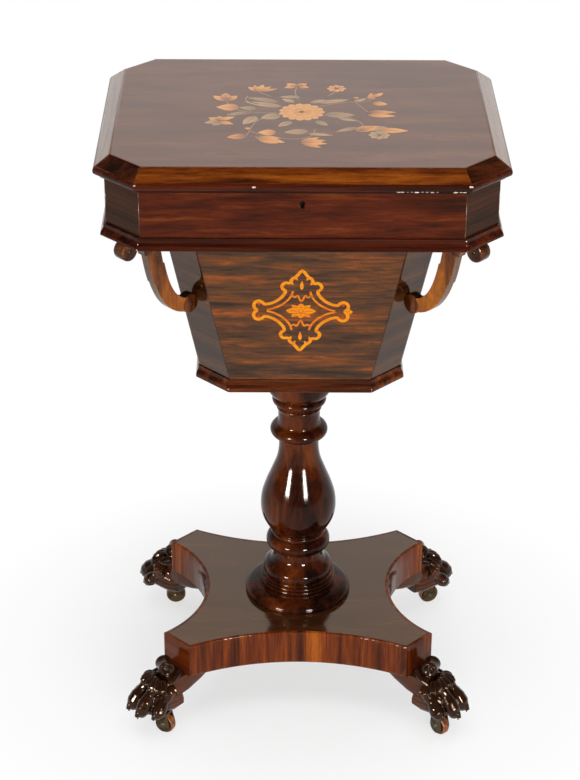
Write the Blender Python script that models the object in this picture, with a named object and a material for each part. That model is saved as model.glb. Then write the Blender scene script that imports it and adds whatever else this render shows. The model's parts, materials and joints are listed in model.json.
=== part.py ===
"""Work table on a turned column: bevelled lid, shallow box, tapered well, concave platform, paw feet, castors.

Metres, +Z up, front faces -Y, origin on the floor under the column's axis.
"""
import math

import bmesh
import bpy
from mathutils import Matrix, Vector

# Clearances
GAP = 0.0003
SEAT = 0.0003
RUN = 0.0005
FIT = 0.00008

# Heights: the table's and the platform's above the floor, and those of the pieces between
TABLE_H = 0.745
BEVEL_H = 0.0122
LID_T = 0.0252
BEAD_H = 0.0084
BOX_H = 0.0652
BOX_MOULD_H = 0.0132
MOULD_FILLET_H = 0.0030
WELL_H = 0.2066
WELL_BASE_T = 0.0152
WELL_FILLET_H = 0.0040
PLATFORM_Z = 0.1152
PLATFORM_T = 0.0432

# Plan of the lid: half width, half depth and the run of the canted corners
LID_A = 0.2206
LID_B = 0.1790
LID_C = 0.0447
BEVEL_RUN = 0.0164
LID_EDGE_IN = 0.0060
BEAD_OUT = 0.0026
BOX_IN_SIDE = 0.0108
BOX_IN_FRONT = 0.0090
BOX_C = 0.0378
BOX_T = 0.0090
BOX_BOTTOM_T = 0.0090
BOX_MOULD_OUT = 0.0066

# Plan of the well: how far its mouth lies inside the box, and its foot inside its mouth
WELL_IN_SIDE = 0.0545
WELL_IN_FRONT = 0.0558
WELL_TAPER_SIDE = 0.0391
WELL_TAPER_FRONT = 0.0384
WELL_C0 = 0.0357
WELL_C1 = 0.0345
WELL_T = 0.0070
WELL_MOULD_OUT = 0.0038
PARTITION_T = 0.0050
PARTITION_H = 0.0360

# Plan of the platform
PLATFORM_A = 0.1612
PLATFORM_B = 0.1322
PLATFORM_C = 0.0316
WAIST_X = 0.1128
WAIST_Y = 0.1011

# Column, from its foot up: the vase takes the height that the other members leave
BASE_R = 0.0644
BASE_H = 0.0116
STEP_R = 0.0474
STEP_H = 0.0030
NECKING_R = 0.0456
NECKING_H = 0.0092
BULB_R = 0.0424
BULB_TOP_R = 0.0346
BULB_H = 0.0190
WAIST_R = 0.0286
COVE_H = 0.0166
RING_R = 0.0388
RING_H = 0.0222
RING_BEAD_R = 0.0330
RING_BEAD_H = 0.0050
VASE_R = 0.0456
NECK_R = 0.0240
COLLAR_R = 0.0342
COLLAR_H = 0.0174
UPPER_NECK_R = 0.0249
UPPER_NECK_H = 0.0298
CAP_BEAD_R = 0.0322
CAP_BEAD_H = 0.0090
CAP_R = 0.0400
CAP_H = 0.0441
CAP_OVOLO_H = 0.0220
TENON_TOP_R = 0.0140
TENON_TOP_H = 0.0100
TENON_FOOT_R = 0.0160
TENON_FOOT_H = 0.0220

# Hinges
HINGE_IN = 0.0570
HINGE_BACK = 0.0020
HINGE_LEN = 0.0300
KNUCKLE_R = 0.0027
PIN_R = 0.0010
LEAF_T = 0.0015
LEAF_W = 0.0063

# Lock
LOCK_W = 0.0474
LOCK_D = 0.0085
LOCK_H = 0.0290
LOCK_LET_IN = 0.0060
STAPLE_X = 0.0100
STAPLE_T = 0.0020
STAPLE_W = 0.0052
STAPLE_DROP = 0.0136
EYE_W = 0.0032
EYE_H = 0.0055
BOLT_T = 0.0022
BOLT_THROW = 0.0045
KEYHOLE_DROP = 0.0125
KEYHOLE_R = 0.0020
KEYHOLE_LEN = 0.0050
LINER_T = 0.0009

# Scroll brackets
BRACKET_T = 0.0110
BRACKET_DEPTH_TOP = 0.0205
BRACKET_DEPTH_END = 0.0135
BRACKET_LEG_IN = 0.0360
CURL_DROP = 0.1028
ROLL_R = 0.0109
ROLL_W = 0.0160
CURL_R = 0.0116
CURL_W = 0.0130

# Paw feet: runs are outward from the platform's canted face
FOOT_SOLE_Z = 0.0300
FOOT_HALF_W = 0.0165
PAW_HALF_W = 0.0270
PAW_TIP = 0.0670
PAW_TOP_Z = 0.0770
KNEE_RUN = 0.0180
KNEE_Z = 0.0868
KNEE_R = 0.0090
KNEE_W = 0.0210
HAUNCH_RUN = 0.0720
PINTLE_RUN = 0.0300

# Castors
WHEEL_R = 0.0125
WHEEL_W = 0.0092
AXLE_R = 0.0016
CHEEK_T = 0.0020
CHEEK_R = 0.0096
CROWN_T = 0.0032
CROWN_R = 0.0090
PINTLE_R = 0.0032
PINTLE_H = 0.0200
TRAIL = 0.0080

# Derived levels and plans
LID_Z = TABLE_H - LID_T
BEVEL_Z = TABLE_H - BEVEL_H
BOX_TOP_Z = LID_Z - GAP
BOX_BASE_Z = BOX_TOP_Z - BOX_H
KEYHOLE_Z = BOX_TOP_Z - KEYHOLE_DROP
BEAD_TOP_Z = BEVEL_Z - GAP
UNDER_Z = PLATFORM_Z - PLATFORM_T
WELL_TOP_Z = BOX_BASE_Z - GAP
WELL_Z = WELL_TOP_Z - WELL_H
WELL_BASE_TOP = WELL_Z - GAP
WELL_BASE_Z = WELL_BASE_TOP - WELL_BASE_T
COLUMN_TOP = WELL_BASE_Z - SEAT
COLUMN_FOOT = PLATFORM_Z + SEAT
CANT = 2.0 - math.sqrt(2.0)
BOX_A = LID_A - BOX_IN_SIDE
BOX_B = LID_B - BOX_IN_FRONT
WELL_A1 = BOX_A - WELL_IN_SIDE
WELL_B1 = BOX_B - WELL_IN_FRONT
WELL_A0 = WELL_A1 - WELL_TAPER_SIDE
WELL_B0 = WELL_B1 - WELL_TAPER_FRONT
HINGE_X = BOX_A - BOX_C - HINGE_IN
HINGE_Y = BOX_B + HINGE_BACK
HINGE_Z = 0.5 * (LID_Z + BOX_TOP_Z)
FRONT_IN_Y = -(BOX_B - BOX_T)
LOCK_OUT_Y = FRONT_IN_Y - LOCK_LET_IN + GAP
LOCK_Y = LOCK_OUT_Y + 0.5 * LOCK_D
KEY_FACE_Y = -BOX_B

COLOURS = {
    "rosewood": (0.115, 0.040, 0.022, 1.0),
    "carving": (0.045, 0.018, 0.010, 1.0),
    "lining": (0.420, 0.270, 0.140, 1.0),
    "brass": (0.520, 0.370, 0.140, 1.0),
    "iron": (0.160, 0.150, 0.140, 1.0),
    "wheel": (0.330, 0.150, 0.050, 1.0),
}
METALS = ("brass", "iron")

for old in list(bpy.data.objects):
    bpy.data.objects.remove(old, do_unlink=True)


def add_object(name, bm, look, smooth=False):
    """Closes a mesh into a named object with a material of its own."""
    bmesh.ops.recalc_face_normals(bm, faces=bm.faces)
    mesh = bpy.data.meshes.new(name)
    for face in bm.faces:
        face.smooth = smooth
    bm.to_mesh(mesh)
    bm.free()
    obj = bpy.data.objects.new(name, mesh)
    bpy.context.scene.collection.objects.link(obj)
    give_material(obj, look)
    return obj


def give_material(obj, look):
    mat = bpy.data.materials.new(obj.name + "_" + look)
    mat.use_nodes = True
    shader = mat.node_tree.nodes["Principled BSDF"]
    shader.inputs["Base Color"].default_value = COLOURS[look]
    shader.inputs["Roughness"].default_value = 0.3
    shader.inputs["Metallic"].default_value = 1.0 if look in METALS else 0.0
    obj.data.materials.clear()
    obj.data.materials.append(mat)


def loft(name, rings, look, closed=False, smooth=False):
    """Skins rings of equal length; ends are capped unless the rings close on themselves."""
    bm = bmesh.new()
    rows = [[bm.verts.new(p) for p in ring] for ring in rings]
    pairs = list(zip(rows, rows[1:]))
    if closed:
        pairs.append((rows[-1], rows[0]))
    for low, high in pairs:
        for i in range(len(low)):
            j = (i + 1) % len(low)
            bm.faces.new((low[i], low[j], high[j], high[i]))
    if not closed:
        bm.faces.new(list(reversed(rows[0])))
        bm.faces.new(rows[-1])
    return add_object(name, bm, look, smooth)


def octagon(a, b, c, z):
    front = [(c - a, -b), (a - c, -b), (a, c - b), (a, b - c)]
    return [(x, y, z) for x, y in front + [(-x, -y) for x, y in front]]


def inset(plan, d):
    a, b, c = plan
    return (a - d, b - d, c - CANT * d)


def block(name, low, high, look="rosewood"):
    (x0, y0, z0), (x1, y1, z1) = low, high
    flat = [(x0, y0), (x1, y0), (x1, y1), (x0, y1)]
    return loft(name, [[(x, y, z0) for x, y in flat], [(x, y, z1) for x, y in flat]], look)


def prism(name, outline, low, high, look, place=None):
    """Extrudes an outline given in local (run, height) by a sideways distance."""
    place = place or Matrix.Identity(4)
    rings = [[place @ Vector((s, t, z)) for s, z in outline] for t in (low, high)]
    return loft(name, rings, look)


def rod(name, start, end, radius, sides, look, smooth=True):
    """A round bar between two points."""
    start, end = Vector(start), Vector(end)
    axis = (end - start).normalized()
    side = axis.orthogonal().normalized()
    if abs(axis.z) < 0.5:
        side = axis.cross(Vector((0, 0, 1))).normalized()
    up = axis.cross(side)
    turn = [2 * math.pi * (i + 0.5) / sides for i in range(sides)]
    arms = [side * math.cos(w) * radius + up * math.sin(w) * radius for w in turn]
    return loft(name, [[p + arm for arm in arms] for p in (start, end)], look, smooth=smooth)


def bore(start, end, shaft_r, sides=16):
    """A hole tool that leaves a running fit round a shaft, whichever way its flats lie."""
    return rod("bore", start, end, (shaft_r + FIT) / math.cos(math.pi / sides), sides, "iron")


def combine(obj, tool, operation="DIFFERENCE"):
    """Carries out one exact Boolean and drops the tool."""
    mod = obj.modifiers.new("combine", "BOOLEAN")
    mod.operation = operation
    mod.solver = "EXACT"
    mod.object = tool
    bake(obj)
    bpy.data.objects.remove(tool, do_unlink=True)
    return obj


def bake(obj):
    """Turns live modifiers into plain mesh and tidies slivers."""
    graph = bpy.context.evaluated_depsgraph_get()
    mesh = bpy.data.meshes.new_from_object(obj.evaluated_get(graph))
    keep = obj.data.materials[0]
    obj.modifiers.clear()
    obj.data = mesh
    obj.data.materials.clear()
    obj.data.materials.append(keep)
    bm = bmesh.new()
    bm.from_mesh(mesh)
    bmesh.ops.remove_doubles(bm, verts=bm.verts, dist=0.00001)
    bmesh.ops.dissolve_degenerate(bm, edges=bm.edges, dist=0.000005)
    for face in bm.faces:
        face.material_index = 0
    bm.to_mesh(mesh)
    bm.free()


def set_origin(obj, point):
    """Moves the object's origin on to its joint axis without moving the mesh."""
    point = Vector(point)
    obj.data.transform(Matrix.Translation(-point))
    obj.location = point


def corner(sx, sy, mx, my):
    """Local frame of a canted corner: run outward, sideways, up."""
    out = Vector((sx, sy, 0)).normalized()
    side = Vector((-out.y, out.x, 0))
    frame = Matrix.Identity(4)
    for i, axis in enumerate((out, side, Vector((0, 0, 1)), Vector((sx * mx, sy * my, 0)))):
        for k in range(3):
            frame[k][i] = axis[k]
    return frame


CORNERS = {"fl": (-1, -1), "fr": (1, -1), "br": (1, 1), "bl": (-1, 1)}
SIDES = ("front", "cant_fr", "right", "cant_br", "back", "cant_bl", "left", "cant_fl")


def ring_of_panels(stem, outer_low, inner_low, outer_high, inner_high, look="rosewood"):
    """Eight mitred boards round an octagon, each shortened for its joints."""
    made = {}
    for i, side in enumerate(SIDES):
        j = (i + 1) % 8
        rings = []
        for outer, inner in ((outer_low, inner_low), (outer_high, inner_high)):
            o0, o1, n1, n0 = (Vector(p) for p in (outer[i], outer[j], inner[j], inner[i]))
            along = (o1 - o0).normalized() * (0.5 * GAP)
            rings.append([o0 + along, o1 - along, n1 - along, n0 + along])
        made[side] = loft(stem + "_" + side, rings, look)
    return made


def arc(cx, cz, radius, start, end, steps):
    turn = [math.radians(start + (end - start) * i / steps) for i in range(steps + 1)]
    return [(cx + radius * math.cos(w), cz + radius * math.sin(w)) for w in turn]


def swell(z0, z1, root, crown, steps):
    """A half round moulding on a turned piece, from z0 up to z1."""
    mid, half = 0.5 * (z0 + z1), 0.5 * (z1 - z0)
    turn = [math.pi * i / steps - math.pi / 2 for i in range(steps + 1)]
    return [(root + (crown - root) * math.cos(w), mid + half * math.sin(w)) for w in turn]


def ovolo(z0, z1, outer, inner, steps):
    """A quarter round on a turned piece, upright at z0 and level at z1."""
    turn = [0.5 * math.pi * i / steps for i in range(steps + 1)]
    return [(inner + (outer - inner) * math.cos(w), z0 + (z1 - z0) * math.sin(w)) for w in turn]


def cove(z0, z1, low_r, high_r, steps):
    """A hollow quarter round on a turned piece, level at z0 and upright at z1."""
    turn = [0.5 * math.pi * i / steps for i in range(steps + 1)]
    return [(low_r + (high_r - low_r) * math.sin(w), z0 + (z1 - z0) * (1 - math.cos(w))) for w in turn]


def flow(points, steps):
    """A smooth line through (radius, height) stations."""
    ends = [points[0]] + list(points) + [points[-1]]
    line = []
    for k in range(1, len(ends) - 2):
        p0, p1, p2, p3 = ends[k - 1:k + 3]
        for i in range(steps):
            t = i / steps
            line.append(tuple(0.5 * (2 * p1[n] + (p2[n] - p0[n]) * t
                                     + (2 * p0[n] - 5 * p1[n] + 4 * p2[n] - p3[n]) * t * t
                                     + (3 * p1[n] - p0[n] - 3 * p2[n] + p3[n]) * t ** 3) for n in (0, 1)))
    line.append(tuple(points[-1]))
    return line


def turned(name, profile, sides, look, centre=(0, 0)):
    """A turned piece from a profile of (radius, height) going up."""
    turn = [2 * math.pi * i / sides for i in range(sides)]
    cx, cy = centre
    rings = [[(cx + r * math.cos(w), cy + r * math.sin(w), z) for w in turn] for r, z in profile]
    return loft(name, rings, look, smooth=True)


# Lid: a thick board with a broad bevel, a bead planted under its edge
LID_PLAN = (LID_A, LID_B, LID_C)
HINGE_AXIS = (0.0, HINGE_Y, HINGE_Z)
lid = loft("lid_panel", [
    octagon(*inset(LID_PLAN, LID_EDGE_IN), LID_Z),
    octagon(*inset(LID_PLAN, LID_EDGE_IN), BEVEL_Z),
    octagon(*LID_PLAN, BEVEL_Z),
    octagon(*inset(LID_PLAN, BEVEL_RUN), TABLE_H),
], "rosewood")

BEAD_LOW_Z = BEAD_TOP_Z - BEAD_H
BEAD_IN = LID_EDGE_IN - GAP
bead_line = [(BEAD_IN, BEAD_TOP_Z), (BEAD_IN, BEAD_LOW_Z)]
for r, z in swell(BEAD_LOW_Z, BEAD_TOP_Z, 0.0, BEAD_OUT, 6):
    bead_line.append((0.0010 - r, z))
lid_bead = loft("lid_bead", [octagon(*inset(LID_PLAN, d), z) for d, z in bead_line], "rosewood", closed=True)

# Box: eight mitred boards, a bottom board open over the well, a moulding round its foot
BOX_PLAN = (BOX_A, BOX_B, BOX_C)
BOX_INNER = inset(BOX_PLAN, BOX_T)
box = ring_of_panels(
    "box",
    octagon(*BOX_PLAN, BOX_BASE_Z), octagon(*BOX_INNER, BOX_BASE_Z),
    octagon(*BOX_PLAN, BOX_TOP_Z), octagon(*BOX_INNER, BOX_TOP_Z))

MOUTH = inset((WELL_A1, WELL_B1, WELL_C1), WELL_T)
BOTTOM_PLAN = inset(BOX_INNER, GAP)
BOTTOM_TOP_Z = BOX_BASE_Z + BOX_BOTTOM_T
loft("box_bottom", [
    octagon(*MOUTH, BOX_BASE_Z), octagon(*BOTTOM_PLAN, BOX_BASE_Z),
    octagon(*BOTTOM_PLAN, BOTTOM_TOP_Z), octagon(*MOUTH, BOTTOM_TOP_Z),
], "lining", closed=True)

MOULD_TOP = BOX_BASE_Z + BOX_MOULD_H
MOULD_LOW = BOX_BASE_Z + 0.5 * MOULD_FILLET_H
MOULD_HIGH = MOULD_TOP - MOULD_FILLET_H
MOULD_IN = 0.45 * BOX_MOULD_OUT
mould_line = [(GAP, BOX_BASE_Z), (BOX_MOULD_OUT, BOX_BASE_Z), (BOX_MOULD_OUT, MOULD_LOW)]
for i in range(1, 6):
    w = 0.5 * math.pi * i / 6
    mould_line.append((BOX_MOULD_OUT + (MOULD_IN - BOX_MOULD_OUT) * math.sin(w) ** 2,
                       MOULD_LOW + (MOULD_HIGH - MOULD_LOW) * i / 6))
mould_line += [(MOULD_IN, MOULD_HIGH), (MOULD_IN, MOULD_TOP), (GAP, MOULD_TOP)]
loft("box_moulding", [octagon(*inset(BOX_PLAN, -d), z) for d, z in mould_line], "rosewood", closed=True)

# Partitions stand on the bottom board round the mouth of the well and make compartments
PART_Z0 = BOTTOM_TOP_Z + SEAT
PART_Z1 = PART_Z0 + PARTITION_H
PART_Y = MOUTH[1] + 2 * GAP
PART_X = MOUTH[0] + 2 * GAP
PART_END = BOX_INNER[0] - GAP
for label, sign in (("front", -1), ("back", 1)):
    y0, y1 = sorted((sign * PART_Y, sign * (PART_Y + PARTITION_T)))
    block("partition_" + label, (-PART_END, y0, PART_Z0), (PART_END, y1, PART_Z1), "lining")
for label, sign in (("left", -1), ("right", 1)):
    x0, x1 = sorted((sign * PART_X, sign * (PART_X + PARTITION_T)))
    block("partition_" + label, (x0, GAP - PART_Y, PART_Z0), (x1, PART_Y - GAP, PART_Z1), "lining")

# Well: eight tapered boards on a moulded base board
FOOT_PLAN = (WELL_A0, WELL_B0, WELL_C0)
MOUTH_PLAN = (WELL_A1, WELL_B1, WELL_C1)
ring_of_panels(
    "well",
    octagon(*FOOT_PLAN, WELL_Z), octagon(*inset(FOOT_PLAN, WELL_T), WELL_Z),
    octagon(*MOUTH_PLAN, WELL_TOP_Z), octagon(*inset(MOUTH_PLAN, WELL_T), WELL_TOP_Z))

BASE_FILLET_LOW = WELL_BASE_Z + WELL_FILLET_H
BASE_FILLET_HIGH = WELL_BASE_TOP - 0.7 * WELL_FILLET_H
WELL_MOULD_IN = 0.28 * WELL_MOULD_OUT
base_line = [(0.8 * WELL_MOULD_OUT, WELL_BASE_Z), (WELL_MOULD_OUT, WELL_BASE_Z + 0.3 * WELL_FILLET_H),
             (WELL_MOULD_OUT, BASE_FILLET_LOW)]
for i in range(1, 5):
    w = 0.5 * math.pi * i / 5
    base_line.append((WELL_MOULD_OUT + (WELL_MOULD_IN - WELL_MOULD_OUT) * math.sin(w) ** 2,
                      BASE_FILLET_LOW + (BASE_FILLET_HIGH - BASE_FILLET_LOW) * i / 5))
base_line += [(WELL_MOULD_IN, BASE_FILLET_HIGH), (WELL_MOULD_IN, WELL_BASE_TOP)]
well_base = loft("well_base", [octagon(*inset(FOOT_PLAN, -d), z) for d, z in base_line], "rosewood")
combine(well_base, rod("socket", (0, 0, WELL_BASE_Z - TENON_TOP_H), (0, 0, WELL_BASE_Z + TENON_TOP_H + RUN),
                       TENON_TOP_R + GAP, 32, "rosewood"))

# Hinges: two butts let into the back board and the lid
HINGE_SPLIT = HINGE_LEN / 3.0


def knuckle(name, x0, x1, look="brass"):
    return rod(name, (x0, HINGE_Y, HINGE_Z), (x1, HINGE_Y, HINGE_Z), KNUCKLE_R, 16, look)


def bored(obj, x0, x1):
    past = KNUCKLE_R
    return combine(obj, bore((x0 - past, HINGE_Y, HINGE_Z), (x1 + past, HINGE_Y, HINGE_Z), PIN_R, 12))


for label, sign in (("left", -1), ("right", 1)):
    cx = sign * HINGE_X
    x0, x1 = cx - 0.5 * HINGE_LEN, cx + 0.5 * HINGE_LEN
    inner0, inner1 = cx - 0.5 * HINGE_SPLIT, cx + 0.5 * HINGE_SPLIT
    plate_y1 = HINGE_Y - KNUCKLE_R - GAP
    plate_y0 = plate_y1 - LEAF_W

    leaf_z0 = BOX_TOP_Z - LEAF_T
    tongue_y = plate_y1 - 0.5 * LEAF_T
    leaf = block("hinge_%s_box_leaf" % label, (x0, plate_y0, leaf_z0), (x1, plate_y1, BOX_TOP_Z), "brass")
    for k0, k1 in ((x0, inner0 - GAP), (inner1 + GAP, x1)):
        combine(leaf, block("tongue", (k0, tongue_y, leaf_z0), (k1, HINGE_Y, BOX_TOP_Z), "brass"), "UNION")
        combine(leaf, knuckle("barrel", k0, k1), "UNION")
    bored(leaf, x0, x1)

    leaf_z1 = LID_Z + LEAF_T
    leaf = block("hinge_%s_lid_leaf" % label, (x0, plate_y0, LID_Z), (x1, plate_y1, leaf_z1), "brass")
    combine(leaf, block("tongue", (inner0, tongue_y, LID_Z), (inner1, HINGE_Y, leaf_z1), "brass"), "UNION")
    combine(leaf, knuckle("barrel", inner0, inner1), "UNION")
    bored(leaf, inner0, inner1)
    set_origin(leaf, HINGE_AXIS)

    rod("hinge_%s_pin" % label, (x0, HINGE_Y, HINGE_Z), (x1, HINGE_Y, HINGE_Z), PIN_R, 12, "iron")

    bed0, bed1 = x0 - GAP, x1 + GAP
    bed_y1 = HINGE_Y + 2 * LEAF_W
    for part, z0, z1 in ((box["back"], leaf_z0 - GAP, TABLE_H), (lid, leaf_z0, leaf_z1 + GAP)):
        combine(part, block("mortise", (bed0, plate_y0 - GAP, z0), (bed1, bed_y1, z1)))
        ends = (bed0, HINGE_Y, HINGE_Z), (bed1, HINGE_Y, HINGE_Z)
        combine(part, rod("relief", *ends, KNUCKLE_R + GAP, 16, "brass"))

# Lock: a case let into the front board, a sliding bolt in it, a link plate with two staples on the lid
CASE_Z1 = BOX_TOP_Z - GAP
CASE_Z0 = CASE_Z1 - LOCK_H
CASE_TOP_T = 0.0021
CHANNEL_W = STAPLE_W + 2 * GAP
CHANNEL_Z0 = CASE_Z1 - 0.0185
CHANNEL_Z1 = CASE_Z1 - CASE_TOP_T
CHANNEL_X = 0.5 * LOCK_W - 0.0025
case = block("lock_case", (-0.5 * LOCK_W, LOCK_OUT_Y, CASE_Z0),
             (0.5 * LOCK_W, LOCK_OUT_Y + LOCK_D, CASE_Z1), "brass")
combine(case, block("channel", (-CHANNEL_X, LOCK_Y - 0.5 * CHANNEL_W, CHANNEL_Z0),
                    (CHANNEL_X, LOCK_Y + 0.5 * CHANNEL_W, CHANNEL_Z1)))
for sign in (-1, 1):
    sx = sign * STAPLE_X
    half = 0.5 * STAPLE_T + RUN
    combine(case, block("slot", (sx - half, LOCK_Y - 0.5 * CHANNEL_W, CHANNEL_Z1 - 0.001),
                        (sx + half, LOCK_Y + 0.5 * CHANNEL_W, CASE_Z1 + 0.01)))
combine(box["front"], block("let_in", (-0.5 * LOCK_W - GAP, FRONT_IN_Y - LOCK_LET_IN, CASE_Z0 - GAP),
                            (0.5 * LOCK_W + GAP, FRONT_IN_Y + 0.02, BOX_TOP_Z + 0.01)))

LINK_HALF_X = 0.0200
LINK_HALF_Y = 0.0045
link = block("lock_link_plate", (-LINK_HALF_X, LOCK_Y - LINK_HALF_Y, LID_Z),
             (LINK_HALF_X, LOCK_Y + LINK_HALF_Y, LID_Z + LEAF_T), "brass")
EYE_MID_Z = LID_Z - STAPLE_DROP + 0.0020 + 0.5 * EYE_H
for sign in (-1, 1):
    sx = sign * STAPLE_X
    staple = block("staple", (sx - 0.5 * STAPLE_T, LOCK_Y - 0.5 * STAPLE_W, LID_Z - STAPLE_DROP),
                   (sx + 0.5 * STAPLE_T, LOCK_Y + 0.5 * STAPLE_W, LID_Z + 0.5 * LEAF_T), "brass")
    combine(link, staple, "UNION")
    combine(link, block("eye", (sx - 0.005, LOCK_Y - 0.5 * EYE_W, EYE_MID_Z - 0.5 * EYE_H),
                        (sx + 0.005, LOCK_Y + 0.5 * EYE_W, EYE_MID_Z + 0.5 * EYE_H)))
set_origin(link, HINGE_AXIS)
combine(lid, block("link_bed", (-LINK_HALF_X - GAP, LOCK_Y - LINK_HALF_Y - GAP, LID_Z - 0.01),
                   (LINK_HALF_X + GAP, LOCK_Y + LINK_HALF_Y + GAP, LID_Z + LEAF_T + GAP)))

FINGER_H = EYE_H - 2 * 0.0011
FINGER_TIP = STAPLE_X + 0.5 * STAPLE_T + 0.0004
POST_W = 0.0031
BAR_Z0 = CHANNEL_Z0 + GAP
BAR_Z1 = LID_Z - STAPLE_DROP - RUN
FINGER_Z0 = EYE_MID_Z - 0.5 * FINGER_H
FINGER_Z1 = EYE_MID_Z + 0.5 * FINGER_H
tip_a = -FINGER_TIP
tip_b = 2 * STAPLE_X - FINGER_TIP
post_a = tip_a - BOLT_THROW
post_b = tip_b - BOLT_THROW
bolt_outline = [
    (post_a - POST_W, BAR_Z0), (post_b, BAR_Z0), (post_b, FINGER_Z0), (tip_b, FINGER_Z0), (tip_b, FINGER_Z1),
    (post_b - POST_W, FINGER_Z1), (post_b - POST_W, BAR_Z1), (post_a, BAR_Z1), (post_a, FINGER_Z0),
    (tip_a, FINGER_Z0), (tip_a, FINGER_Z1), (post_a - POST_W, FINGER_Z1),
]
bolt = prism("lock_bolt", bolt_outline, LOCK_Y - 0.5 * BOLT_T, LOCK_Y + 0.5 * BOLT_T, "iron")
set_origin(bolt, (0.0, LOCK_Y, BAR_Z0))


def keyhole(radius, slot_half, drop):
    """A keyhole outline: a round head and a straight slot below."""
    line = arc(0.0, KEYHOLE_Z, radius, -50, 230, 14)
    return line + [(-slot_half, KEYHOLE_Z - drop), (slot_half, KEYHOLE_Z - drop)]


HEAD_OUT = KEYHOLE_R + LINER_T
SLOT_HALF = 0.0009
LINER_Y0 = KEY_FACE_Y
LINER_Y1 = LOCK_OUT_Y - GAP
liner = prism("keyhole_liner", keyhole(HEAD_OUT, SLOT_HALF + LINER_T, KEYHOLE_LEN + LINER_T),
              LINER_Y0, LINER_Y1, "brass")
combine(liner, prism("hole", keyhole(KEYHOLE_R, SLOT_HALF, KEYHOLE_LEN),
                     LINER_Y0 - BOX_T, LINER_Y1 + BOX_T, "brass"))
bed_line = keyhole(HEAD_OUT + GAP, SLOT_HALF + LINER_T + GAP, KEYHOLE_LEN + LINER_T + GAP)
combine(box["front"], prism("bed", bed_line, LINER_Y0 - BOX_T, LINER_Y1 + LINER_T, "brass"))

# Scroll brackets: sawn legs under the box corners, rolled out at the head and in at the foot
BRACKET_TOP = BOX_BASE_Z - SEAT
BRACKET_MX = BOX_A - 0.5 * BOX_C
BRACKET_MY = BOX_B - 0.5 * BOX_C
ROLL_RUN = -0.0030
ROLL_Z = BRACKET_TOP - ROLL_R
CURL_Z = BRACKET_TOP - CURL_DROP
curl_share = (CURL_Z - WELL_Z) / WELL_H
cant_foot = WELL_A0 + WELL_B0 - WELL_C0
cant_mouth = WELL_A1 + WELL_B1 - WELL_C1
cant_at_curl = cant_foot + (cant_mouth - cant_foot) * curl_share
WELL_RUN = (cant_at_curl - BRACKET_MX - BRACKET_MY) / math.sqrt(2.0)
CANT_LEAN = math.atan((cant_mouth - cant_foot) / math.sqrt(2.0) / WELL_H)
CURL_RUN = WELL_RUN + CURL_R / math.cos(CANT_LEAN) + SEAT
LEG_TOP_RUN = -BRACKET_LEG_IN


def bracket_leg(steps):
    """Outline of the leg: a cubic centre line from the box down to the curl, thinning on the way."""
    lean = 0.15 * (LEG_TOP_RUN - CURL_RUN)
    p0 = Vector((LEG_TOP_RUN, BRACKET_TOP))
    p1 = Vector((LEG_TOP_RUN - lean, BRACKET_TOP - 0.525 * CURL_DROP))
    p2 = Vector((LEG_TOP_RUN - 2 * lean, CURL_Z + 0.02 * CURL_DROP))
    p3 = Vector((CURL_RUN, CURL_Z - 0.01 * CURL_DROP))
    inner, outer = [], []
    for i in range(steps + 1):
        t = i / steps
        u = 1 - t
        at = p0 * u ** 3 + p1 * 3 * u * u * t + p2 * 3 * u * t * t + p3 * t ** 3
        way = (p1 - p0) * 3 * u * u + (p2 - p1) * 6 * u * t + (p3 - p2) * 3 * t * t
        across = Vector((-way.y, way.x)).normalized()
        if i == 0:
            across = Vector((1.0, 0.0))
        half = 0.5 * (BRACKET_DEPTH_TOP + (BRACKET_DEPTH_END - BRACKET_DEPTH_TOP) * t)
        outer.append(at + across * half)
        inner.append(at - across * half)
    return [tuple(p) for p in outer + inner[::-1]]


for label, (sx, sy) in CORNERS.items():
    place = corner(sx, sy, BRACKET_MX, BRACKET_MY)
    half = 0.5 * BRACKET_T
    bracket = prism("bracket_" + label, bracket_leg(13), -half, half, "rosewood", place)
    head_line = [(LEG_TOP_RUN, ROLL_Z), (ROLL_RUN, ROLL_Z)]
    head_line += [(ROLL_RUN, BRACKET_TOP), (LEG_TOP_RUN, BRACKET_TOP)]
    combine(bracket, prism("head", head_line, -half, half, "rosewood", place), "UNION")
    for run, z, radius, width in ((ROLL_RUN, ROLL_Z, ROLL_R, ROLL_W), (CURL_RUN, CURL_Z, CURL_R, CURL_W)):
        disc = rod("disc", place @ Vector((run, -0.5 * width, z)), place @ Vector((run, 0.5 * width, z)),
                   radius, 24, "rosewood")
        combine(bracket, disc, "UNION")

# Column: one turned piece with a tenon at each end
LINE = 0.0006
base_top = COLUMN_FOOT + BASE_H
step_top = base_top + STEP_H
necking_top = step_top + NECKING_H
bulb_top = necking_top + BULB_H
cove_top = bulb_top + COVE_H
ring_top = cove_top + RING_H
vase_low = ring_top + RING_BEAD_H
cap_low = COLUMN_TOP - CAP_H
cap_bead_low = cap_low - CAP_BEAD_H
collar_top = cap_bead_low - UPPER_NECK_H
vase_high = collar_top - COLLAR_H
vase_h = vase_high - vase_low

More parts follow.
